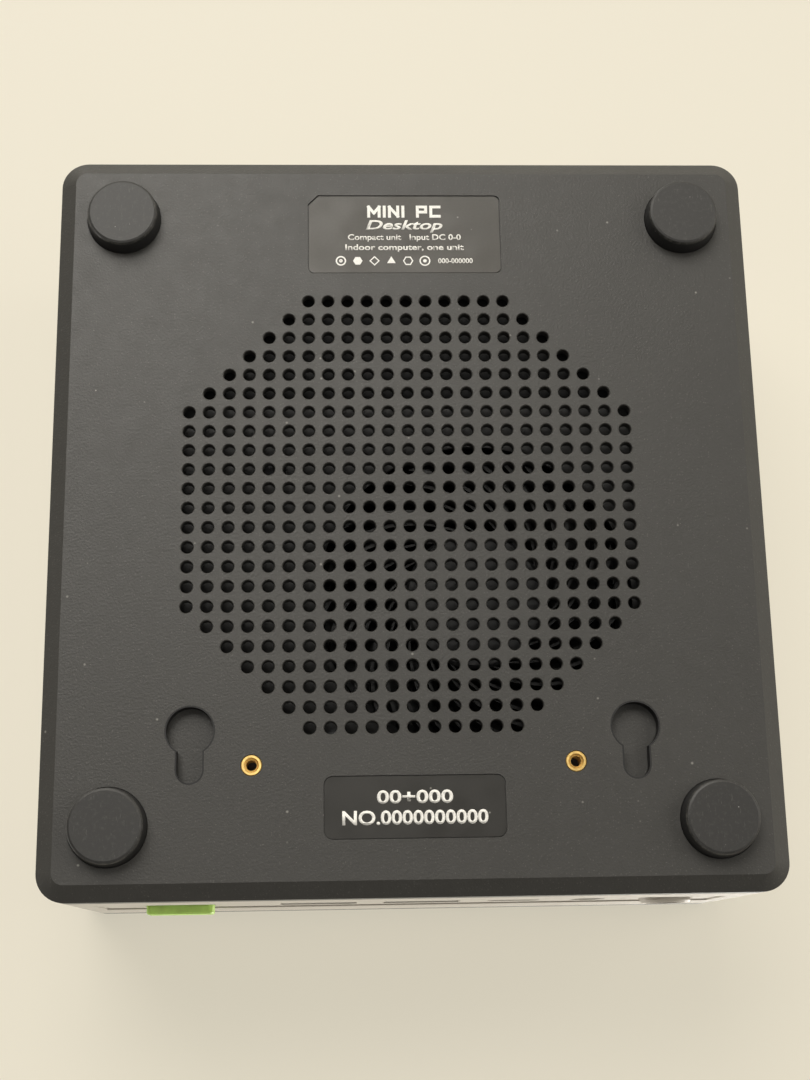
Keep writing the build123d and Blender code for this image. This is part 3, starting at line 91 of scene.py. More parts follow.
COPPER = (0.72, 0.34, 0.18)
STEEL = (0.55, 0.55, 0.56)
BLACK_STEEL = (0.085, 0.085, 0.09)
PORT_STEEL = (0.60, 0.60, 0.61)
ALUMINIUM = (0.52, 0.52, 0.54)
SOLDER_MASK = (0.006, 0.030, 0.018)
TRACE_GREEN = (0.02, 0.10, 0.055)
PAD_GOLD = (0.35, 0.28, 0.12)
LAMP_GREEN = (0.10, 0.45, 0.12)
LAMP_AMBER = (0.55, 0.28, 0.03)
LAMP_WHITE = (0.55, 0.62, 0.75)
# Grey for dust, and for the painted highlight round the feet's rims
DUST_AND_HIGHLIGHT = (0.42, 0.41, 0.38)
PALE_DUST = (0.62, 0.60, 0.55)
LINT = (0.60, 0.58, 0.55)
DARK_DUST = (0.12, 0.11, 0.10)
FLOOR = (0.28, 0.262, 0.225)
FLOOR_GLOW = (0.53, 0.495, 0.405)
WORLD = (0.97, 0.905, 0.750)
WARM_LIGHT = (1.0, 0.965, 0.90)
TOP_LIGHT = (1, 0.98, 0.95)
WHITE_LIGHT = (1, 1, 1)


# ----------------------------------------------------------------- materials

class Graph:
    """A node tree under construction."""

    def __init__(self, tree):
        self.tree = tree

    def add(self, kind, **inputs):
        node = self.tree.nodes.new(kind)
        for key, value in inputs.items():
            self.put(node.inputs[key.replace("_", " ")], value)
        return node

    def put(self, socket, value):
        """A link if the value is an output, else a plain number or colour."""
        if isinstance(value, bpy.types.NodeSocket):
            self.tree.links.new(value, socket)
        elif isinstance(value, tuple) and len(value) == 3 and socket.type == "RGBA":
            socket.default_value = (*value, 1)
        else:
            socket.default_value = value

    def band(self, value, low, high, start=0.0, end=1.0):
        """Maps low..high to start..end, clamped."""
        node = self.add("ShaderNodeMapRange", Value=value, From_Min=low, From_Max=high,
                        To_Min=start, To_Max=end)
        return node.outputs["Result"]

    def math(self, kind, a, b):
        node = self.add("ShaderNodeMath")
        node.operation = kind
        self.put(node.inputs[0], a)
        self.put(node.inputs[1], b)
        return node.outputs[0]

    def times(self, a, b):
        return self.math("MULTIPLY", a, b)


class Look(Graph):
    """A material under construction around one Principled shader."""

    # Noise values between these two carry most of its contrast
    NOISE_LOW = 0.3
    NOISE_HIGH = 0.7

    def __init__(self, name, colour, rough, metal=0.0, level=0.5):
        self.mat = bpy.data.materials.new(name)
        self.mat.use_nodes = True
        super().__init__(self.mat.node_tree)
        self.shader = self.tree.nodes["Principled BSDF"]
        self.set("Base Color", colour)
        self.set("Roughness", rough)
        self.set("Metallic", metal)
        self.set("Specular IOR Level", level)
        self.place = self.add("ShaderNodeTexCoord").outputs["Object"]
        self.colour = colour

    def set(self, name, value):
        """One of the shader's own inputs."""
        self.put(self.shader.inputs[name], value)

    def stretched(self, x, y, z):
        """The place, stretched along the axes."""
        return self.add("ShaderNodeMapping", Vector=self.place, Scale=(x, y, z)).outputs["Vector"]

    def noise(self, size, detail=2.0, rough=0.5, place=None):
        """Noise whose lumps are about that size."""
        node = self.add("ShaderNodeTexNoise", Vector=place or self.place, Scale=1 / size,
                        Detail=detail, Roughness=rough)
        return node.outputs["Fac"]

    def cells(self, size):
        """Distance to scattered points that far apart, and each cell's colour."""
        node = self.add("ShaderNodeTexVoronoi", Vector=self.place, Scale=1 / size)
        return node.outputs["Distance"], node.outputs["Color"]

    def height(self):
        """The place's Z."""
        return self.add("ShaderNodeSeparateXYZ", Vector=self.place).outputs["Z"]

    def tint(self, fac, colour, kind="MIX"):
        """Mixes a colour over what the colour is so far."""
        node = self.add("ShaderNodeMix")
        node.data_type = "RGBA"
        node.blend_type = kind
        self.put(node.inputs["Factor"], fac)
        self.put(node.inputs["A"], self.colour)
        self.put(node.inputs["B"], colour)
        self.colour = node.outputs["Result"]

    def shade(self, value, low, high):
        """Multiplies the colour by low..high as the noise rises."""
        grey = self.band(value, self.NOISE_LOW, self.NOISE_HIGH, low, high)
        node = self.add("ShaderNodeCombineColor", Red=grey, Green=grey, Blue=grey)
        self.tint(1.0, node.outputs["Color"], "MULTIPLY")

    def gloss(self, value, low, high):
        """Roughness from low to high as the noise rises."""
        self.set("Roughness", self.band(value, self.NOISE_LOW, self.NOISE_HIGH, low, high))

    def relief(self, height, strength, depth):
        """Bumps of that depth on top of earlier ones."""
        node = self.add("ShaderNodeBump", Height=height, Strength=strength, Distance=depth)
        earlier = self.shader.inputs["Normal"].links
        if earlier:
            self.put(node.inputs["Normal"], earlier[0].from_socket)
        self.set("Normal", node.outputs["Normal"])

    def specks(self, size, share, colour, amount, reach=0.09):
        """Light specks in that share of the cells, their radius reach times the spacing."""
        distance, cell = self.cells(size)
        red = self.add("ShaderNodeSeparateColor", Color=cell).outputs["Red"]
        chosen = self.math("GREATER_THAN", red, 1.0 - share)
        spot = self.band(distance, reach / 3, reach, 1.0, 0.0)
        self.tint(self.times(self.times(spot, chosen), amount), colour)

    def glow(self, colour, power):
        self.set("Emission Color", colour)
        self.set("Emission Strength", power)

    def done(self):
        self.set("Base Color", self.colour)
        return self.mat


def moulded_look(name, colour, rough, grain=0.35, depth=0.05, dusty=0.5, cloud=0.06):
    """Spark-textured moulded plastic with faint clouding and dust. Grain and depth in mm."""
    look = Look(name, colour, rough, level=0.42)
    look.shade(look.noise(22 * MM, detail=3.0, rough=0.55), 1 - cloud, 1 + cloud)
    look.shade(look.noise(0.9 * MM), 0.965, 1.035)
    if dusty:
        look.specks(3.1 * MM, 0.16, DUST_AND_HIGHLIGHT, 0.55 * dusty)
        look.specks(1.1 * MM, 0.10, DUST_AND_HIGHLIGHT, 0.30 * dusty)
    look.gloss(look.noise(2.5 * MM, detail=3.0), rough - 0.03, rough + 0.04)
    look.relief(look.noise(grain * MM, rough=0.6), 0.6, depth * MM)
    return look


def moulded(*args, **details):
    return moulded_look(*args, **details).done()


def cover_look():
    """The bottom cover: charcoal spark texture with a thin, even film of dust."""
    look = moulded_look("cover_plastic", COVER, 0.42, grain=0.42, depth=0.09, dusty=0.8, cloud=0.03)
    look.specks(7.0 * MM, 0.22, PALE_DUST, 0.5, reach=0.025)
    look.specks(0.45 * MM, 0.30, DUST_AND_HIGHLIGHT, 0.10, reach=0.30)
    return look.done()


def rubber_look():
    """Foot rubber: near black, with grey scuffs and lint on the worn end and a painted highlight
    round its rim.
    """
    look = Look("foot_rubber", RUBBER, 0.47, level=0.45)
    height = look.height()
    worn_end = look.band(height, 0.10 * MM, 0.6 * MM, 1.0, 0.12)
    # A band just above the worn end, where the painted highlight goes
    rim_highlight = look.times(look.band(height, 0.12 * MM, 0.45 * MM),
                     look.band(height, 0.5 * MM, 0.9 * MM, 1.0, 0.0))
    scuff_and_highlight = look.noise(0.8 * MM, detail=5.0, rough=0.75)
    streak = look.noise(0.30 * MM, detail=3.0, rough=0.7, place=look.stretched(1.0, 0.16, 1.0))
    look.tint(look.times(worn_end, 0.04), DUST_AND_HIGHLIGHT)
    look.tint(look.times(look.band(scuff_and_highlight, 0.52, 0.80, 0.0, 0.07), worn_end), DUST_AND_HIGHLIGHT)
    look.tint(look.times(look.band(streak, 0.62, 0.78, 0.0, 0.22), worn_end), DUST_AND_HIGHLIGHT)
    # Painted highlight: a grey ring round the rim, broken up by the noise
    look.tint(look.times(rim_highlight, look.band(scuff_and_highlight, 0.42, 0.62, 0.02, 0.22)), DUST_AND_HIGHLIGHT)
    look.specks(1.3 * MM, 0.16, LINT, 0.7)
    look.relief(look.noise(0.25 * MM, detail=3.0, rough=0.7), 0.5, 0.015 * MM)
    return look.done()


def painted(name, colour, rough, metal):
    """Satin paint: fine flake, orange peel and faint handling marks."""
    look = Look(name, colour, rough, metal)
    look.shade(look.noise(0.12 * MM, detail=1.0), 0.94, 1.06)
    look.shade(look.noise(30 * MM, detail=3.0), 0.97, 1.03)
    look.gloss(look.noise(9 * MM, detail=4.0, rough=0.6), rough - 0.05, rough + 0.08)
    look.specks(4.0 * MM, 0.12, DARK_DUST, 0.35)
    look.relief(look.noise(1.4 * MM), 0.25, 0.03 * MM)
    look.relief(look.noise(0.10 * MM, detail=1.0), 0.25, 0.01 * MM)
    return look.done()


def metal(name, colour, rough, grain=(1.0, 0.05, 1.0), aniso=0.0):
    """Brushed or stamped metal. Its grain is drawn out along the axis with the small number."""
    look = Look(name, colour, rough, metal=1.0)
    lines = look.noise(0.18 * MM, detail=3.0, rough=0.6, place=look.stretched(*grain))
    look.shade(lines, 0.88, 1.10)
    look.shade(look.noise(7 * MM, detail=4.0, rough=0.6), 0.90, 1.06)
    look.gloss(look.noise(1.6 * MM, detail=4.0, rough=0.7), rough - 0.06, rough + 0.12)
    look.relief(lines, 0.35, 0.015 * MM)
    look.set("Anisotropic", aniso)
    return look.done()


def film(name, colour, rough):
    """Printed film: slight sheen, fibre mottling and dust."""
    look = Look(name, colour, rough)
    look.shade(look.noise(0.5 * MM, detail=3.0, rough=0.6), 0.94, 1.06)
    look.shade(look.noise(12 * MM, detail=3.0), 0.90, 1.10)
    look.specks(2.4 * MM, 0.16, DUST_AND_HIGHLIGHT, 0.5)
    look.gloss(look.noise(5 * MM, detail=3.0), rough - 0.05, rough + 0.08)
    look.relief(look.noise(0.22 * MM), 0.25, 0.02 * MM)
    return look.done()


def board_look():
    """Circuit board: dark solder mask with traces and pads."""
    look = Look("board_mask", SOLDER_MASK, 0.35)
    black, white = (0.0, 0.0, 0.0), (1.0, 1.0, 1.0)
    bricks = look.add("ShaderNodeTexBrick", Vector=look.place, Scale=1 / (9 * MM),
                      Mortar_Size=0.02, Color1=black, Color2=black, Mortar=white)
    traces = bricks.outputs["Fac"]
    look.tint(look.times(traces, 0.6), TRACE_GREEN)
    look.tint(look.band(look.cells(2.6 * MM)[0], 0.08, 0.11, 1.0, 0.0), PAD_GOLD)
    look.shade(look.noise(4 * MM), 0.85, 1.15)
    look.relief(traces, 0.4, 0.03 * MM)
    return look.done()


def plug_look():
    """The dust plug: matte silicone with a cloudy bloom."""
    look = Look("plug_green", PLUG_GREEN, 0.55, level=0.35)
    look.shade(look.noise(2.5 * MM, detail=3.0), 0.90, 1.10)
    look.specks(0.8 * MM, 0.15, PLUG_LINT, 0.5)
    look.relief(look.noise(0.25 * MM), 0.5, 0.03 * MM)
    look.set("Subsurface Weight", 0.12)
    look.set("Subsurface Radius", (0.5 * MM, 1.0 * MM, 0.3 * MM))
    return look.done()


def winding_look():
    """Motor coils: fine turns of enamelled copper."""
    look = Look("coil_copper", COPPER, 0.35, metal=1.0)
    wave = look.add("ShaderNodeTexWave", Vector=look.place, Scale=1 / (0.9 * MM), Distortion=0.6)
    wave.bands_direction = "Z"
    turns = wave.outputs["Fac"]
    look.shade(turns, 0.55, 1.10)
    look.relief(turns, 0.6, 0.08 * MM)
    return look.done()


def ink_look():
    """White print, slightly worn."""
    look = Look("label_ink", INK, 0.5, level=0.4)
    look.shade(look.noise(0.35 * MM, detail=3.0, rough=0.7), 0.82, 1.04)
    look.relief(look.noise(0.2 * MM), 0.2, 0.01 * MM)
    return look.done()


def lamp_look(name, colour, power):
    """A small lit indicator with a cloudy lens."""
    look = Look(name, colour, 0.3)
    look.shade(look.noise(0.4 * MM), 0.85, 1.1)
    look.glow(colour, power)
    return look.done()


def node_looks():
    """Every CAD node's material, by the record's slot."""
    along_x, along_y, along_z = (0.05, 1.0, 1.0), (1.0, 0.1, 1.0), (1.0, 1.0, 0.1)
    looks = [
        cover_look(),
        rubber_look(),
        metal("insert_brass", BRASS, 0.38, grain=(0.1, 0.1, 1.0)),
        film("rating_film", RATING_FILM, 0.42),
        film("serial_film", SERIAL_FILM, 0.40),
        metal("screw_steel", BLACK_STEEL, 0.38, grain=along_z),
        painted("case_silver", SILVER, 0.50, 0.10),
        painted("rim_silver", SILVER, 0.50, 0.10),
        moulded("panel_dark", PANEL, 0.42, grain=0.3, depth=0.03, dusty=0.3),
        moulded("lid_dark", LID, 0.44, grain=0.4, dusty=0.35),
        metal("plate_steel", STEEL, 0.34, grain=along_x, aniso=0.3),
        moulded("blower_plate", BLOWER_GREY, 0.5, grain=0.5, depth=0.03, dusty=0.4),
        moulded("fan_plastic", PLASTIC_BLACK, 0.45, dusty=0.4),
        moulded("rotor_plastic", ROTOR, 0.36, grain=0.6, depth=0.02, dusty=0.9),
        metal("bearing_bronze", BRONZE, 0.45),
        winding_look(),
        moulded("lead_black", LEAD_BLACK, 0.5, grain=0.6, depth=0.03, dusty=0.0),
        metal("fin_aluminium", ALUMINIUM, 0.36, grain=(1.0, 1.0, 0.08)),
        metal("pipe_copper", COPPER, 0.34, grain=(0.08, 0.08, 1.0)),
        board_look(),
        moulded("part_dark", PART_BLACK, 0.5, dusty=0.2),
        film("antenna_film", ANTENNA_FILM, 0.45),
        metal("port_steel", PORT_STEEL, 0.28),
        moulded("jack_black", JACK_BLACK, 0.4, dusty=0.2),
        painted("button_silver", BUTTON, 0.42, 0.2),
        plug_look(),
    ]
    # Blender puts a dot and a number after a name that is taken
    return {mat.name.partition(".")[0]: mat for mat in looks}


def dress_nodes(looks):
    """Gives each CAD node its slot's material."""
    for entry in frame["record"]["subparts"]:
        piece = NODES[entry["node"]]
        piece.data.materials.clear()
        piece.data.materials.append(looks[entry["material_slot"]])


# --------------------------------------------------------------------- stage

CAMERA_AT = Vector((12.19, -77.62, -267.93)) * MM
CAMERA_RIGHT = Vector((-0.99917, -0.01766, -0.03690))
CAMERA_UP = Vector((-0.00765, 0.96679, -0.25545))
LENS_MM = 54.04
SENSOR_MM = 36
CLIP_NEAR = 0.01

FLOOR_REACH = 12.0
LID_FLOOR_X = (-0.112, 0.108)
LID_FLOOR_Y = (-0.150, 0.205)
LID_FLOOR_GAP = 0.05 * MM

# Name, place, what it aims at, size, power, colour
BODY_MIDDLE = (0, 0, 0.03)
LIGHTS = [
    ("under_key", (0.26, 0.66, -0.94), BODY_MIDDLE, (0.80, 0.80), 11.3, WARM_LIGHT),
    ("under_front", (0.10, -0.40, -1.10), (0, -0.05, 0.03), (0.9, 0.7), 1.8, WARM_LIGHT),
    ("under_fill", (-0.75, 0.10, -0.60), BODY_MIDDLE, (0.6, 0.6), 2.5, WARM_LIGHT),
    ("top_key", (-0.55, -0.50, 0.85), BODY_MIDDLE, (0.6, 0.6), 6.5, TOP_LIGHT),
    ("top_fill", (0.70, -0.35, 0.55), BODY_MIDDLE, (0.6, 0.6), 3.0, TOP_LIGHT),
    ("top_rear", (0.15, 0.80, 0.60), BODY_MIDDLE, (0.8, 0.5), 3.5, WHITE_LIGHT),
]

# The world's strength above, and below towards the rear, the left and elsewhere
WORLD_ABOVE = 0.80
WORLD_REAR = 1.00
WORLD_LEFT = 0.55
WORLD_DIM = 0.05


def link(thing):
    bpy.context.scene.collection.objects.link(thing)
    return thing


def add_camera():
    """Looks up at the underside, a little turned about its own axis."""
    data = bpy.data.cameras.new("camera")
    data.lens = LENS_MM
    data.sensor_width = SENSOR_MM
    data.clip_start = CLIP_NEAR
    camera = link(bpy.data.objects.new("camera", data))
    right = CAMERA_RIGHT.normalized()
    back = right.cross(CAMERA_UP).normalized()
    up = back.cross(right)
    camera.matrix_world = Matrix((
        (right.x, up.x, back.x, CAMERA_AT.x), (right.y, up.y, back.y, CAMERA_AT.y),
        (right.z, up.z, back.z, CAMERA_AT.z), (0, 0, 0, 1)))
    bpy.context.scene.camera = camera


def floor_look():
    """Pale floor that shows from its front only, so neither floor hides the object."""
    look = Look("floor", FLOOR, 0.6, level=0.2)
    look.shade(look.noise(180 * MM), 0.985, 1.015)
    look.glow(FLOOR_GLOW, 1.0)
    pick = look.add("ShaderNodeMixShader",
                    Fac=look.add("ShaderNodeNewGeometry").outputs["Backfacing"])
    look.put(pick.inputs[1], look.shader.outputs["BSDF"])
    look.put(pick.inputs[2], look.add("ShaderNodeBsdfTransparent").outputs["BSDF"])
    look.put(look.tree.nodes["Material Output"].inputs["Surface"], pick.outputs["Shader"])
    return look.done()


def add_floor(name, corners, mat):
    """A flat floor. Its front is the side from which the corners run anticlockwise."""
    mesh = bpy.data.meshes.new(name)
    mesh.from_pydata(corners, [], [tuple(range(len(corners)))])
    mesh.materials.append(mat)
    floor = link(bpy.data.objects.new(name, mesh))
    floor.visible_diffuse = False
    floor.visible_glossy = False
    floor.visible_transmission = False
    floor.visible_shadow = False


def add_floors():
    """One floor under the feet, and one against the lid, where the object lies upside down."""
    mat = floor_look()
    wide = FLOOR_REACH
    add_floor("floor_under_feet", [(-wide, -wide, 0), (wide, -wide, 0), (wide, wide, 0),
                                   (-wide, wide, 0)], mat)
    x0, x1 = LID_FLOOR_X
    y0, y1 = LID_FLOOR_Y
    z = TOP + LID_FLOOR_GAP
    add_floor("floor_against_lid", [(x0, y0, z), (x0, y1, z), (x1, y1, z), (x1, y0, z)], mat)


def add_lights():
    """Soft light from the rear below for the underside, and from above for the rest."""
    for name, at, aim, size, power, colour in LIGHTS:
        data = bpy.data.lights.new(name, "AREA")
        data.shape = "RECTANGLE"
        data.size, data.size_y = size
        data.energy = power
        data.color = colour
        light = link(bpy.data.objects.new(name, data))
        light.location = at
        light.rotation_euler = (Vector(aim) - Vector(at)).to_track_quat("-Z", "Y").to_euler()


def add_world():
    """A pale studio above. Below it is dim, and brighter to the rear and to the left."""
    world = bpy.data.worlds.new("studio")
    world.use_nodes = True
    graph = Graph(world.node_tree)
    sky = graph.tree.nodes["Background"]
    graph.put(sky.inputs["Color"], WORLD)
    way = graph.add("ShaderNodeSeparateXYZ",
                    Vector=graph.add("ShaderNodeTexCoord").outputs["Generated"]).outputs
    rear = graph.band(way["Y"], 0.2, 0.95, WORLD_DIM, WORLD_REAR)
    left = graph.band(way["X"], -0.95, -0.3, WORLD_LEFT, 0.0)
    below = graph.times(graph.math("ADD", rear, left), graph.band(way["Z"], -0.12, -0.04, 1.0, 0.0))
    above = graph.band(way["Z"], -0.14, -0.07, 0.0, WORLD_ABOVE)
    graph.put(sky.inputs["Strength"], graph.math("MAXIMUM", above, below))
    bpy.context.scene.world = world


# ---------------------------------------------------------------- mesh tools

def new_piece(name, mesh, mat, body="chassis"):
    """Puts a mesh into the scene on a CAD body."""
    piece = link(bpy.data.objects.new(name, mesh))
    mesh.materials.clear()
    mesh.materials.append(mat)
    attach(piece, body)


def finish_piece(bm, name, mat, body="chassis"):
    """A piece from a bmesh, with its normals outward."""
    bmesh.ops.recalc_face_normals(bm, faces=bm.faces)
    mesh = bpy.data.meshes.new(name)
    bm.to_mesh(mesh)
    bm.free()
    new_piece(name, mesh, mat, body)


def prism(bm, outline, z0, z1):
    """Adds an upright prism on a list of (x, y) points."""
    low = [bm.verts.new((x, y, z0)) for x, y in outline]
    high = [bm.verts.new((x, y, z1)) for x, y in outline]
    bm.faces.new(list(reversed(low)))
    bm.faces.new(high)
    for i in range(len(outline)):
        j = (i + 1) % len(outline)
        bm.faces.new((low[i], low[j], high[j], high[i]))


def cuboid(bm, x0, x1, y0, y1, z0, z1):
    """Adds a box between two corners, whose x and y come in either order."""
    x0, x1 = sorted((x0, x1))
    y0, y1 = sorted((y0, y1))
    prism(bm, [(x0, y0), (x1, y0), (x1, y1), (x0, y1)], z0, z1)


def band_prism(bm, outer, inner, z0, z1):
    """Adds a flat band between two loops that have as many points."""
    low_out, low_in, high_out, high_in = [
        [bm.verts.new((x, y, z)) for x, y in loop] for z in (z0, z1) for loop in (outer, inner)]
    for i in range(len(outer)):
        j = (i + 1) % len(outer)
        bm.faces.new((low_out[i], low_in[i], low_in[j], low_out[j]))
        bm.faces.new((high_out[i], high_out[j], high_in[j], high_in[i]))
        bm.faces.new((low_out[i], low_out[j], high_out[j], high_out[i]))
        bm.faces.new((low_in[i], high_in[i], high_in[j], low_in[j]))


def ring_points(x, y, radius, count, turn=0.0):
    """Points round a circle."""
    angles = [turn + 2 * math.pi * i / count for i in range(count)]
    return [(x + radius * math.cos(a), y + radius * math.sin(a)) for a in angles]


def disc(bm, x, y, radius, z0, z1, count=24, turn=0.0):
    prism(bm, ring_points(x, y, radius, count, turn), z0, z1)


def ring(bm, x, y, outer, inner, z0, z1, count=24):
    band_prism(bm, ring_points(x, y, outer, count), ring_points(x, y, inner, count), z0, z1)


def middle_of(node):
    """The middle of a node's box."""
    low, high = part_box(node)
    return (low.x + high.x) / 2, (low.y + high.y) / 2, (low.z + high.z) / 2


# -------------------------------------------------------------- label print

INK_T = 0.03 * MM

TITLE = "MINI PC"
TITLE_UP = 4.5 * MM
TITLE_WIDE = 12.9 * MM
TITLE_HIGH = 1.85 * MM
STROKE_WIDE = 0.54 * MM
STROKE_STEP = 0.001 * MM  # each stroke's face stands this much prouder than the last one's
STROKES = {
    "M": [(0, 0), (0, 1), (0.5, 0.35), (1, 1), (1, 0)],
    "I": [(0, 0), (0, 1)],
    "N": [(0, 0), (0, 1), (1, 0), (1, 1)],
    "P": [(0, 0), (0, 1), (1, 1), (1, 0.45), (0, 0.45)],
    "C": [(1, 0), (0, 0), (0, 1), (1, 1)],
}
LETTER_WIDE = {"M": 1.25, "I": 0.0, " ": 0.5}
LETTER_GAP = 0.62

# Name, words, letter size, x and y from the label's middle, extra weight, slant, width, all in mm
RATING_WORDS = [
    ("print_subtitle", "Desktop", 2.6, 0.0, 1.55, 0.055, 0.25, 14.0),
    ("print_line_a", "Compact unit   Input DC 0-0", 1.55, 0.0, -0.75, 0.030, 0.0, 20.6),
    ("print_line_b", "Indoor computer, one unit", 1.55, 0.0, -2.75, 0.036, 0.0, 21.6),
]
RATING_FIGURES = [("print_figures", "000-000000", 1.35, -9.2, -5.25, 0.024, 0.0, 6.3)]
SERIAL_WORDS = [
    ("print_spec", "00+000", 3.0, 0.0, 1.65, 0.07, 0.0, 12.7),
    ("print_number", "NO.0000000000", 3.2, 0.0, -1.75, 0.08, 0.0, 24.3),
]
LETTER_STEPS = 4
WELD = 0.002 * MM

# Place in the row, outer and inner radius, corners, turn
SHAPE_ROW_X = 11.6 * MM
SHAPE_ROW_Y = -5.25 * MM
SHAPE_PITCH = 3.05 * MM
SHAPE_R = 0.95 * MM
SHAPES = [
    (0, 1.00, 0.72, 24, 0.0),
    (0, 0.35, 0.10, 12, 0.0),
    (1, 0.90, 0.00, 6, 0.0),
    (2, 1.00, 0.70, 4, 0.0),
    (3, 0.95, 0.00, 3, math.pi / 2),
    (4, 1.00, 0.74, 6, 0.0),
    (5, 1.05, 0.80, 24, 0.0),
    (5, 0.35, 0.00, 12, 0.0),
]


def text_mesh(name, words, size, weight, slant):
    """Flat lettering as a mesh."""
    curve = bpy.data.curves.new(name, "FONT")
    curve.body = words
    curve.size = size
    curve.align_x = "CENTER"
    curve.align_y = "CENTER"
    curve.offset = weight
    curve.shear = slant
    curve.resolution_u = LETTER_STEPS
    flat = link(bpy.data.objects.new(name + "_flat", curve))
    bpy.context.view_layer.update()
    graph = bpy.context.evaluated_depsgraph_get()
    mesh = bpy.data.meshes.new_from_object(flat.evaluated_get(graph))
    bpy.data.objects.remove(flat)
    bpy.data.curves.remove(curve)
    return mesh


def print_lines(label, lines, mat):
    """Raised print on a label's downward face, read from below with the front nearest."""
    x, y, _ = middle_of(label)
    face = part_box(label)[0].z
    for name, words, size, across, up, weight, slant, width in lines:
        mesh = text_mesh(name, words, size * MM, weight * MM, slant)
        xs = [v.co.x for v in mesh.vertices]
        ys = [v.co.y for v in mesh.vertices]
        middle_x = (max(xs) + min(xs)) / 2
        middle_y = (max(ys) + min(ys)) / 2
        stretch = width * MM / (max(xs) - min(xs))
        bm = bmesh.new()
        bm.from_mesh(mesh)
        bpy.data.meshes.remove(mesh)
        bmesh.ops.remove_doubles(bm, verts=bm.verts, dist=WELD)
        for v in bm.verts:
            v.co = Vector((x + across * MM - (v.co.x - middle_x) * stretch,
                           y + up * MM + v.co.y - middle_y, face - INK_T))
        sides = bmesh.ops.extrude_face_region(bm, geom=bm.faces[:])
        for part in sides["geom"]:
            if isinstance(part, bmesh.types.BMVert):
                part.co.z = face
        finish_piece(bm, name, mat)


def print_title(mat):
    """Heavy lettering made of straight strokes."""
    x, y, _ = middle_of("rating_label")
    z1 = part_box("rating_label")[0].z
    z0 = z1 - INK_T
    steps = [LETTER_WIDE.get(letter, 1.0) for letter in TITLE]
    unit = TITLE_WIDE / (sum(steps) + LETTER_GAP * (len(TITLE) - 1))
    at = x + TITLE_WIDE / 2
    base = y + TITLE_UP - TITLE_HIGH / 2
    bm = bmesh.new()
    for letter, step in zip(TITLE, steps):
        points = [Vector((at - px * step * unit, base + py * TITLE_HIGH))
                  for px, py in STROKES.get(letter, [])]
        for a, b in zip(points, points[1:]):
            z0 -= STROKE_STEP
            along = (b - a).normalized() * STROKE_WIDE / 2
            side = Vector((-along.y, along.x))
            corners = (a - along + side, a - along - side, b + along - side, b + along + side)
            prism(bm, [(c.x, c.y) for c in corners], z0, z1)
        at -= (step + LETTER_GAP) * unit
    finish_piece(bm, "print_title", mat)


def print_shapes(mat):
    """A row of plain shapes under the words."""
    x, y, _ = middle_of("rating_label")
    z1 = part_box("rating_label")[0].z
    z0 = z1 - INK_T
    row = y + SHAPE_ROW_Y
    bm = bmesh.new()
    for place, outer, inner, corners, turn in SHAPES:
        at = x + SHAPE_ROW_X - place * SHAPE_PITCH
        if inner:
            ring(bm, at, row, outer * SHAPE_R, inner * SHAPE_R, z0, z1, corners)
        else:
            disc(bm, at, row, outer * SHAPE_R, z0, z1, corners, turn)
    finish_piece(bm, "print_shapes", mat)


def label_print(ink):
    """Generic words, figures and plain shapes on the two labels."""
    print_title(ink)
    print_lines("rating_label", RATING_WORDS, ink)
    print_shapes(ink)
    print_lines("rating_label", RATING_FIGURES, ink)
    print_lines("serial_label", SERIAL_WORDS, ink)


# ------------------------------------------------------------------- sockets

# Half width, depth of its front and back, lowest and highest z, contacts and their pitch, in mm
USB_A = (5.6, 1.2, 12.6, 0.35, 2.1, 4, 2.3)
USB_A_LONG = (5.6, 1.2, 15.6, 0.35, 2.1, 4, 2.3)
USB_C = (3.3, 1.0, 7.2, -0.35, 0.35, 10, 0.6)
DISPLAY = (5.6, 1.2, 10.2, 0.1, 1.0, 10, 1.0)
EXPANSION = (4.0, 4.2, 7.7, -0.5, 0.5, 8, 0.9)

# Piece, node, mm up from the node's bottom or down from its top, kind, colour
TONGUES = [
    ("front_usb_port_a_tongue", "front_usb_port_a", -2.9, USB_A, "blue"),
    ("front_usb_port_b_tongue", "front_usb_port_b", -2.9, USB_A, "blue"),
    ("rear_usb_tongue_lower", "rear_usb_ports", 3.4, USB_A_LONG, "blue"),
    ("rear_usb_tongue_upper", "rear_usb_ports", 10.4, USB_A_LONG, "blue"),
    ("front_usb_c_port_tongue", "front_usb_c_port", -1.65, USB_C, "black"),
    ("rear_usb_c_port_tongue", "rear_usb_c_port", -1.65, USB_C, "black"),
    ("video_port_a_tongue", "video_port_a", -2.8, DISPLAY, "black"),
    ("video_port_b_tongue", "video_port_b", -2.8, DISPLAY, "black"),
    ("expansion_port_tongue", "expansion_port", -2.7, EXPANSION, "black"),
]
SLEEVE = 0.05 * MM
CONTACT_PROUD = 0.05 * MM
CONTACT_SHARE = 0.27  # of the pitch, to each side
CONTACT_FRONT = 0.35 * MM
CONTACT_BACK = 0.4 * MM


def mouth(node):
    """A socket's middle x, the y of its mouth, and the way in along Y."""
    low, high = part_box(node)
    into = 1 if (low.y + high.y) < 0 else -1
    return (low.x + high.x) / 2, (low.y if into > 0 else high.y), into


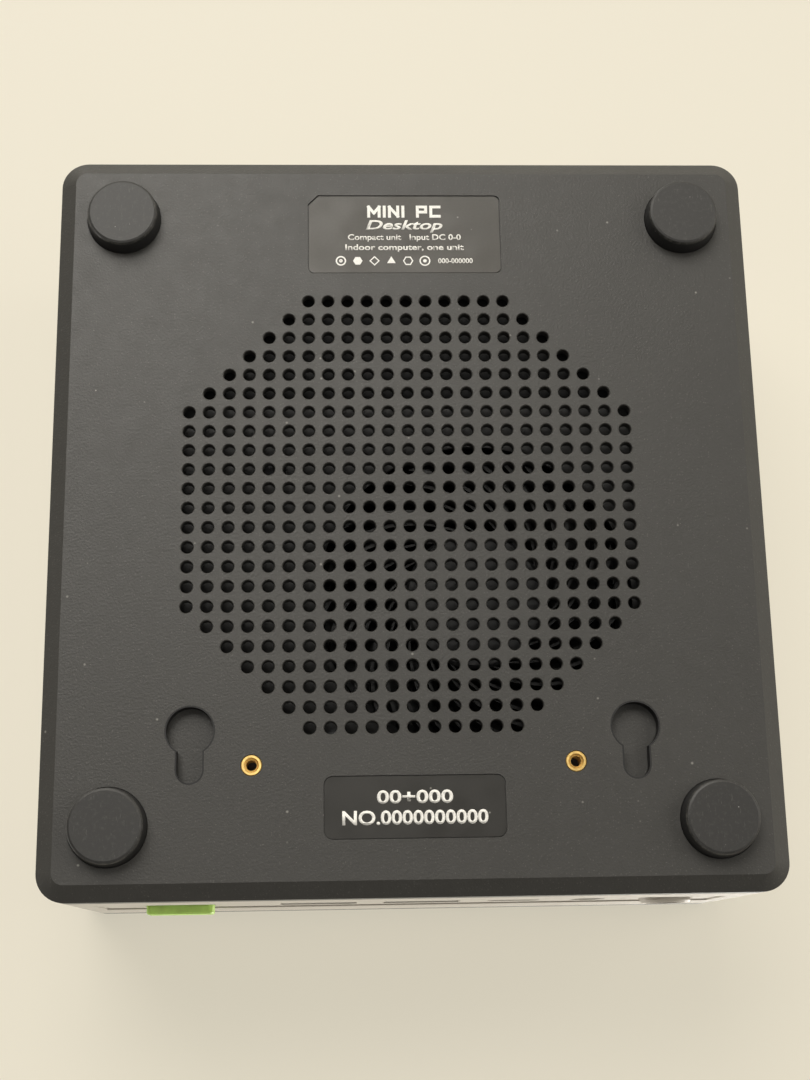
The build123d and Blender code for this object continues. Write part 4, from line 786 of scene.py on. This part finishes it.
def tongues(mats, gold):
    """A plastic sleeve on each socket's tongue, with gold contacts on its underside."""
    for name, node, level, kind, colour in TONGUES:
        half, near, far, z0, z1 = [size * MM for size in kind[:5]]
        count, pitch = kind[5], kind[6] * MM
        low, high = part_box(node)
        z = (low.z if level > 0 else high.z) + level * MM
        x, y, into = mouth(node)
        under = z + z0 - SLEEVE
        bm = bmesh.new()
        cuboid(bm, x - half - SLEEVE, x + half + SLEEVE, y + into * (near - SLEEVE),
               y + into * far, under, z + z1 + SLEEVE)
        finish_piece(bm, name, mats[colour])
        bm = bmesh.new()
        for i in range(count):
            at = x + (i - (count - 1) / 2) * pitch
            wide = CONTACT_SHARE * pitch
            cuboid(bm, at - wide, at + wide, y + into * (near + CONTACT_FRONT),
                   y + into * (far - CONTACT_BACK), under - CONTACT_PROUD, under)
        finish_piece(bm, name + "_contacts", gold)


# A network socket's liner, spring contacts and lamps, from its bottom and its mouth
LINER_HALF = 5.9 * MM
LINER_NEAR = 0.5 * MM
LINER_FAR = 16.0 * MM
LINER_LOW = 2.6 * MM
LINER_HIGH = 10.0 * MM
LINER_SKIN = 0.12 * MM
LATCH_HALF = 3.0 * MM
HAIR = 0.004 * MM  # keeps the liner's walls from sharing an edge
SPRINGS = 8
SPRING_PITCH = 1.02 * MM
SPRING_HALF = 0.17 * MM
SPRING_NEAR = 4.0 * MM
SPRING_FAR = 13.0 * MM
SPRING_RISER = 12.8 * MM
SPRING_LOW = 0.9 * MM
SPRING_HIGH = 1.15 * MM
RISER_HIGH = 3.4 * MM
LAMP_X = 6.0 * MM
LAMP_HALF = 1.15 * MM
LAMP_NEAR = 0.03 * MM
LAMP_FAR = 0.28 * MM
LAMP_LOW = 10.85 * MM
LAMP_HIGH = 12.35 * MM


def network_details(black, gold, green, amber):
    """Liner, spring contacts and two lamps in each network socket."""
    for node in ("lan_port_a", "lan_port_b"):
        x, y, into = mouth(node)
        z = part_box(node)[0].z
        low, high = z + LINER_LOW, z + LINER_HIGH
        near, far = y + into * LINER_NEAR, y + into * LINER_FAR
        back = far - into * LINER_SKIN
        inner = LINER_HALF - LINER_SKIN - HAIR
        wall = low + LINER_SKIN + HAIR
        bm = bmesh.new()
        cuboid(bm, x - LINER_HALF, x + LINER_HALF, near, far, low, low + LINER_SKIN)
        cuboid(bm, x - LINER_HALF, x - LINER_HALF + LINER_SKIN, near, far, wall, high)
        cuboid(bm, x + LINER_HALF - LINER_SKIN, x + LINER_HALF, near, far, wall, high)
        cuboid(bm, x - inner, x + inner, back, far, wall, high)
        for side in (-1, 1):
            cuboid(bm, x + side * LATCH_HALF, x + side * inner, near, back - into * HAIR,
                   high - LINER_SKIN, high)
        finish_piece(bm, node + "_liner", black)
        bm = bmesh.new()
        for i in range(SPRINGS):
            at = x + (i - (SPRINGS - 1) / 2) * SPRING_PITCH
            left, right = at - SPRING_HALF, at + SPRING_HALF
            cuboid(bm, left, right, y + into * SPRING_NEAR, y + into * SPRING_FAR,
                   low + SPRING_LOW, low + SPRING_HIGH)
            cuboid(bm, left, right, y + into * SPRING_RISER, back,
                   low + SPRING_LOW, low + RISER_HIGH)
        finish_piece(bm, node + "_contacts", gold)
        for side, mat, word in ((-1, green, "green"), (1, amber, "amber")):
            at = x + side * LAMP_X
            bm = bmesh.new()
            cuboid(bm, at - LAMP_HALF, at + LAMP_HALF, y + into * LAMP_NEAR, y + into * LAMP_FAR,
                   z + LAMP_LOW, z + LAMP_HIGH)
            finish_piece(bm, f"{node}_lamp_{word}", mat)


# The power button's ring and lamp, and the headset socket's spring, from the front inwards
BUTTON_DISH = 0.25 * MM
BUTTON_RING = (1.75 * MM, 1.45 * MM)
BUTTON_RING_T = 0.04 * MM
POWER_LAMP_X = 7.6 * MM
POWER_LAMP_IN = 2.35 * MM
POWER_LAMP_R = 0.66 * MM
POWER_LAMP_LONG = 1.2 * MM
JACK_SPRING = (1.74 * MM, 1.60 * MM)
JACK_SPRING_IN = 3.0 * MM
JACK_SPRING_LONG = 0.8 * MM


def turn_to_front(bm, x, y, z):
    """Stands a flat shape up so that its upper side faces the front at that place."""
    upright = Matrix.Translation((x, y, z)) @ Matrix.Rotation(math.pi / 2, 4, "X")
    bmesh.ops.transform(bm, matrix=upright, verts=bm.verts)


def front_details(lamp, steel):
    """A plain ring on the power button, its lamp, and the headset socket's spring."""
    x, _, z = middle_of("power_button")
    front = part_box("power_button")[0].y
    bm = bmesh.new()
    ring(bm, 0, 0, *BUTTON_RING, 0, BUTTON_RING_T, 48)
    turn_to_front(bm, x, front + BUTTON_DISH, z)
    finish_piece(bm, "button_ring", steel, "button")
    bm = bmesh.new()
    disc(bm, 0, 0, POWER_LAMP_R, 0, POWER_LAMP_LONG)
    turn_to_front(bm, x + POWER_LAMP_X, front + POWER_LAMP_IN, z)
    finish_piece(bm, "power_lamp", lamp)
    bm = bmesh.new()
    ring(bm, 0, 0, *JACK_SPRING, 0, JACK_SPRING_LONG, 32)
    turn_to_front(bm, middle_of("audio_jack")[0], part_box("audio_jack")[0].y + JACK_SPRING_IN, z)
    finish_piece(bm, "headset_spring", steel)


# ----------------------------------------------------- underside and service fan

INSERT_R = 1.8 * MM
CREST = (1.024 * MM, 0.90 * MM)
CREST_HIGH = 0.16 * MM
CREST_PITCH = 0.35 * MM
THREAD_END = 0.2 * MM

# The keyholes, as they are in the CAD
KEYHOLE_X = 37.5 * MM
KEYHOLE_Y = -38.7 * MM
KEYHOLE_R = 4.25 * MM
KEYHOLE_HALF_SLOT = 2.425 * MM
KEYHOLE_SLOT = 6.6 * MM
KEYHOLE_DEPTH = 2.4 * MM
KEYHOLE_ARC = 40
# A band of painted shade on each keyhole's wall: its outer and inner inset from the keyhole's
# outline, and how far it stays from the mouth and the floor
SHADE_OUT = 0.005 * MM
SHADE_IN = 0.27 * MM
SHADE_MOUTH = 0.03 * MM
SHADE_END = 0.01 * MM

# The blower's cover is a wide plate with a narrower duct floor behind it
BLOWER_FACE = 7.6 * MM
DUCT_LONG = 20 * MM
TAPE_T = 0.06 * MM
TAPE_FRONT_Y = 21.5 * MM
TAPE_PLATE_INSET = 1 * MM
TAPE_INSET = 0.5 * MM

FAN_CENTRE = (0.0, -6.0 * MM)
STICKER_R = 9.5 * MM
STICKER_T = 0.08 * MM
STICKER_INK_T = 0.10 * MM
STICKER_RINGS = [(8.8 * MM, 8.4 * MM, 64), (3.0 * MM, 2.7 * MM, 48)]


def insert_threads(brass):
    """Thread crests in the two mount inserts."""
    low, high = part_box("mount_inserts")
    y = (low.y + high.y) / 2
    bm = bmesh.new()
    for x in (low.x + INSERT_R, high.x - INSERT_R):
        z = low.z + CREST_PITCH
        while z < high.z - THREAD_END:
            ring(bm, x, y, *CREST, z, z + CREST_HIGH, 32)
            z += CREST_PITCH
    finish_piece(bm, "insert_threads", brass)


def keyhole_points(side, shrink):
    """A keyhole's outline: a round mouth with a round-ended slot towards the front."""
    x = side * KEYHOLE_X
    radius = KEYHOLE_R - shrink
    half = KEYHOLE_HALF_SLOT - shrink
    turn = math.asin(half / radius)
    points = []
    for i in range(KEYHOLE_ARC + 1):
        angle = -math.pi / 2 + turn + (2 * math.pi - 2 * turn) * i / KEYHOLE_ARC
        points.append((x + radius * math.cos(angle), KEYHOLE_Y + radius * math.sin(angle)))
    end_arc = KEYHOLE_ARC // 2
    for i in range(end_arc + 1):
        angle = math.pi + math.pi * i / end_arc
        points.append((x + half * math.cos(angle),
                       KEYHOLE_Y - KEYHOLE_SLOT + half * math.sin(angle)))
    return points


def keyhole_liners(mat):
    """Painted shade: a thin dark band on the wall of each keyhole."""
    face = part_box("bottom_cover")[0].z
    bm = bmesh.new()
    for side in (-1, 1):
        band_prism(bm, keyhole_points(side, SHADE_OUT), keyhole_points(side, SHADE_IN),
                   face + SHADE_MOUTH, face + KEYHOLE_DEPTH - SHADE_END)
    finish_piece(bm, "keyhole_liners", mat)


def duct_tape(mat):
    """Black tape over the blower's duct and the edge of its plate."""
    low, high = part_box("blower_cover")
    fins_low, fins_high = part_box("cooler_fins")
    joint_y = high.y - DUCT_LONG - TAPE_INSET
    z0 = BLOWER_FACE - TAPE_T
    bm = bmesh.new()
    cuboid(bm, low.x + TAPE_PLATE_INSET, high.x - TAPE_PLATE_INSET, TAPE_FRONT_Y, joint_y,
           z0, BLOWER_FACE)
    cuboid(bm, fins_low.x + TAPE_INSET, fins_high.x - TAPE_INSET, joint_y, high.y - TAPE_INSET,
           z0, BLOWER_FACE)
    finish_piece(bm, "duct_tape", mat)


def fan_sticker(mat, ink):
    """A blank round sticker on the service fan's hub."""
    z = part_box("service_fan_rotor")[1].z
    x, y = FAN_CENTRE
    bm = bmesh.new()
    disc(bm, x, y, STICKER_R, z, z + STICKER_T, 64)
    finish_piece(bm, "fan_sticker", mat, "service_impeller")
    bm = bmesh.new()
    for outer, inner, count in STICKER_RINGS:
        ring(bm, x, y, outer, inner, z + STICKER_T, z + STICKER_INK_T, count)
    finish_piece(bm, "fan_sticker_rings", ink, "service_impeller")


# --------------------------------------------------------------------- build

SHARP_ANGLE = math.radians(32)


def make_object():
    """Everything that belongs to the object."""
    looks = node_looks()
    dress_nodes(looks)
    ink = ink_look()
    label_print(ink)
    black = moulded("tongue_black", PLASTIC_BLACK, 0.42, dusty=0.2)
    blue = moulded("tongue_blue", TONGUE_BLUE, 0.42, dusty=0.2)
    gold = metal("contact_gold", GOLD, 0.24, grain=(1.0, 0.1, 1.0))
    tongues({"black": black, "blue": blue}, gold)
    network_details(black, gold, lamp_look("lamp_green", LAMP_GREEN, 0.15),
                    lamp_look("lamp_amber", LAMP_AMBER, 0.15))
    front_details(lamp_look("lamp_white", LAMP_WHITE, 0.3), looks["port_steel"])
    insert_threads(painted("thread_brass", THREAD_BRASS, 0.42, 0.5))
    # Painted shade: dark bands on the keyholes' walls
    keyhole_liners(film("liner_black", KEYHOLE_SHADE_BLACK, 0.6))
    duct_tape(film("tape_black", TAPE_BLACK, 0.6))
    fan_sticker(film("fan_film", STICKER_FILM, 0.4), ink)


def smooth_nodes():
    """Shades curved CAD faces smoothly and keeps real edges crisp."""
    for piece in NODES.values():
        piece.data.shade_smooth()
        piece.data.set_sharp_from_angle(angle=SHARP_ANGLE)


scene = bpy.context.scene
scene.view_settings.view_transform = "Standard"
scene.view_settings.look = "None"
add_camera()
add_floors()
add_lights()
add_world()
make_object()
smooth_nodes()
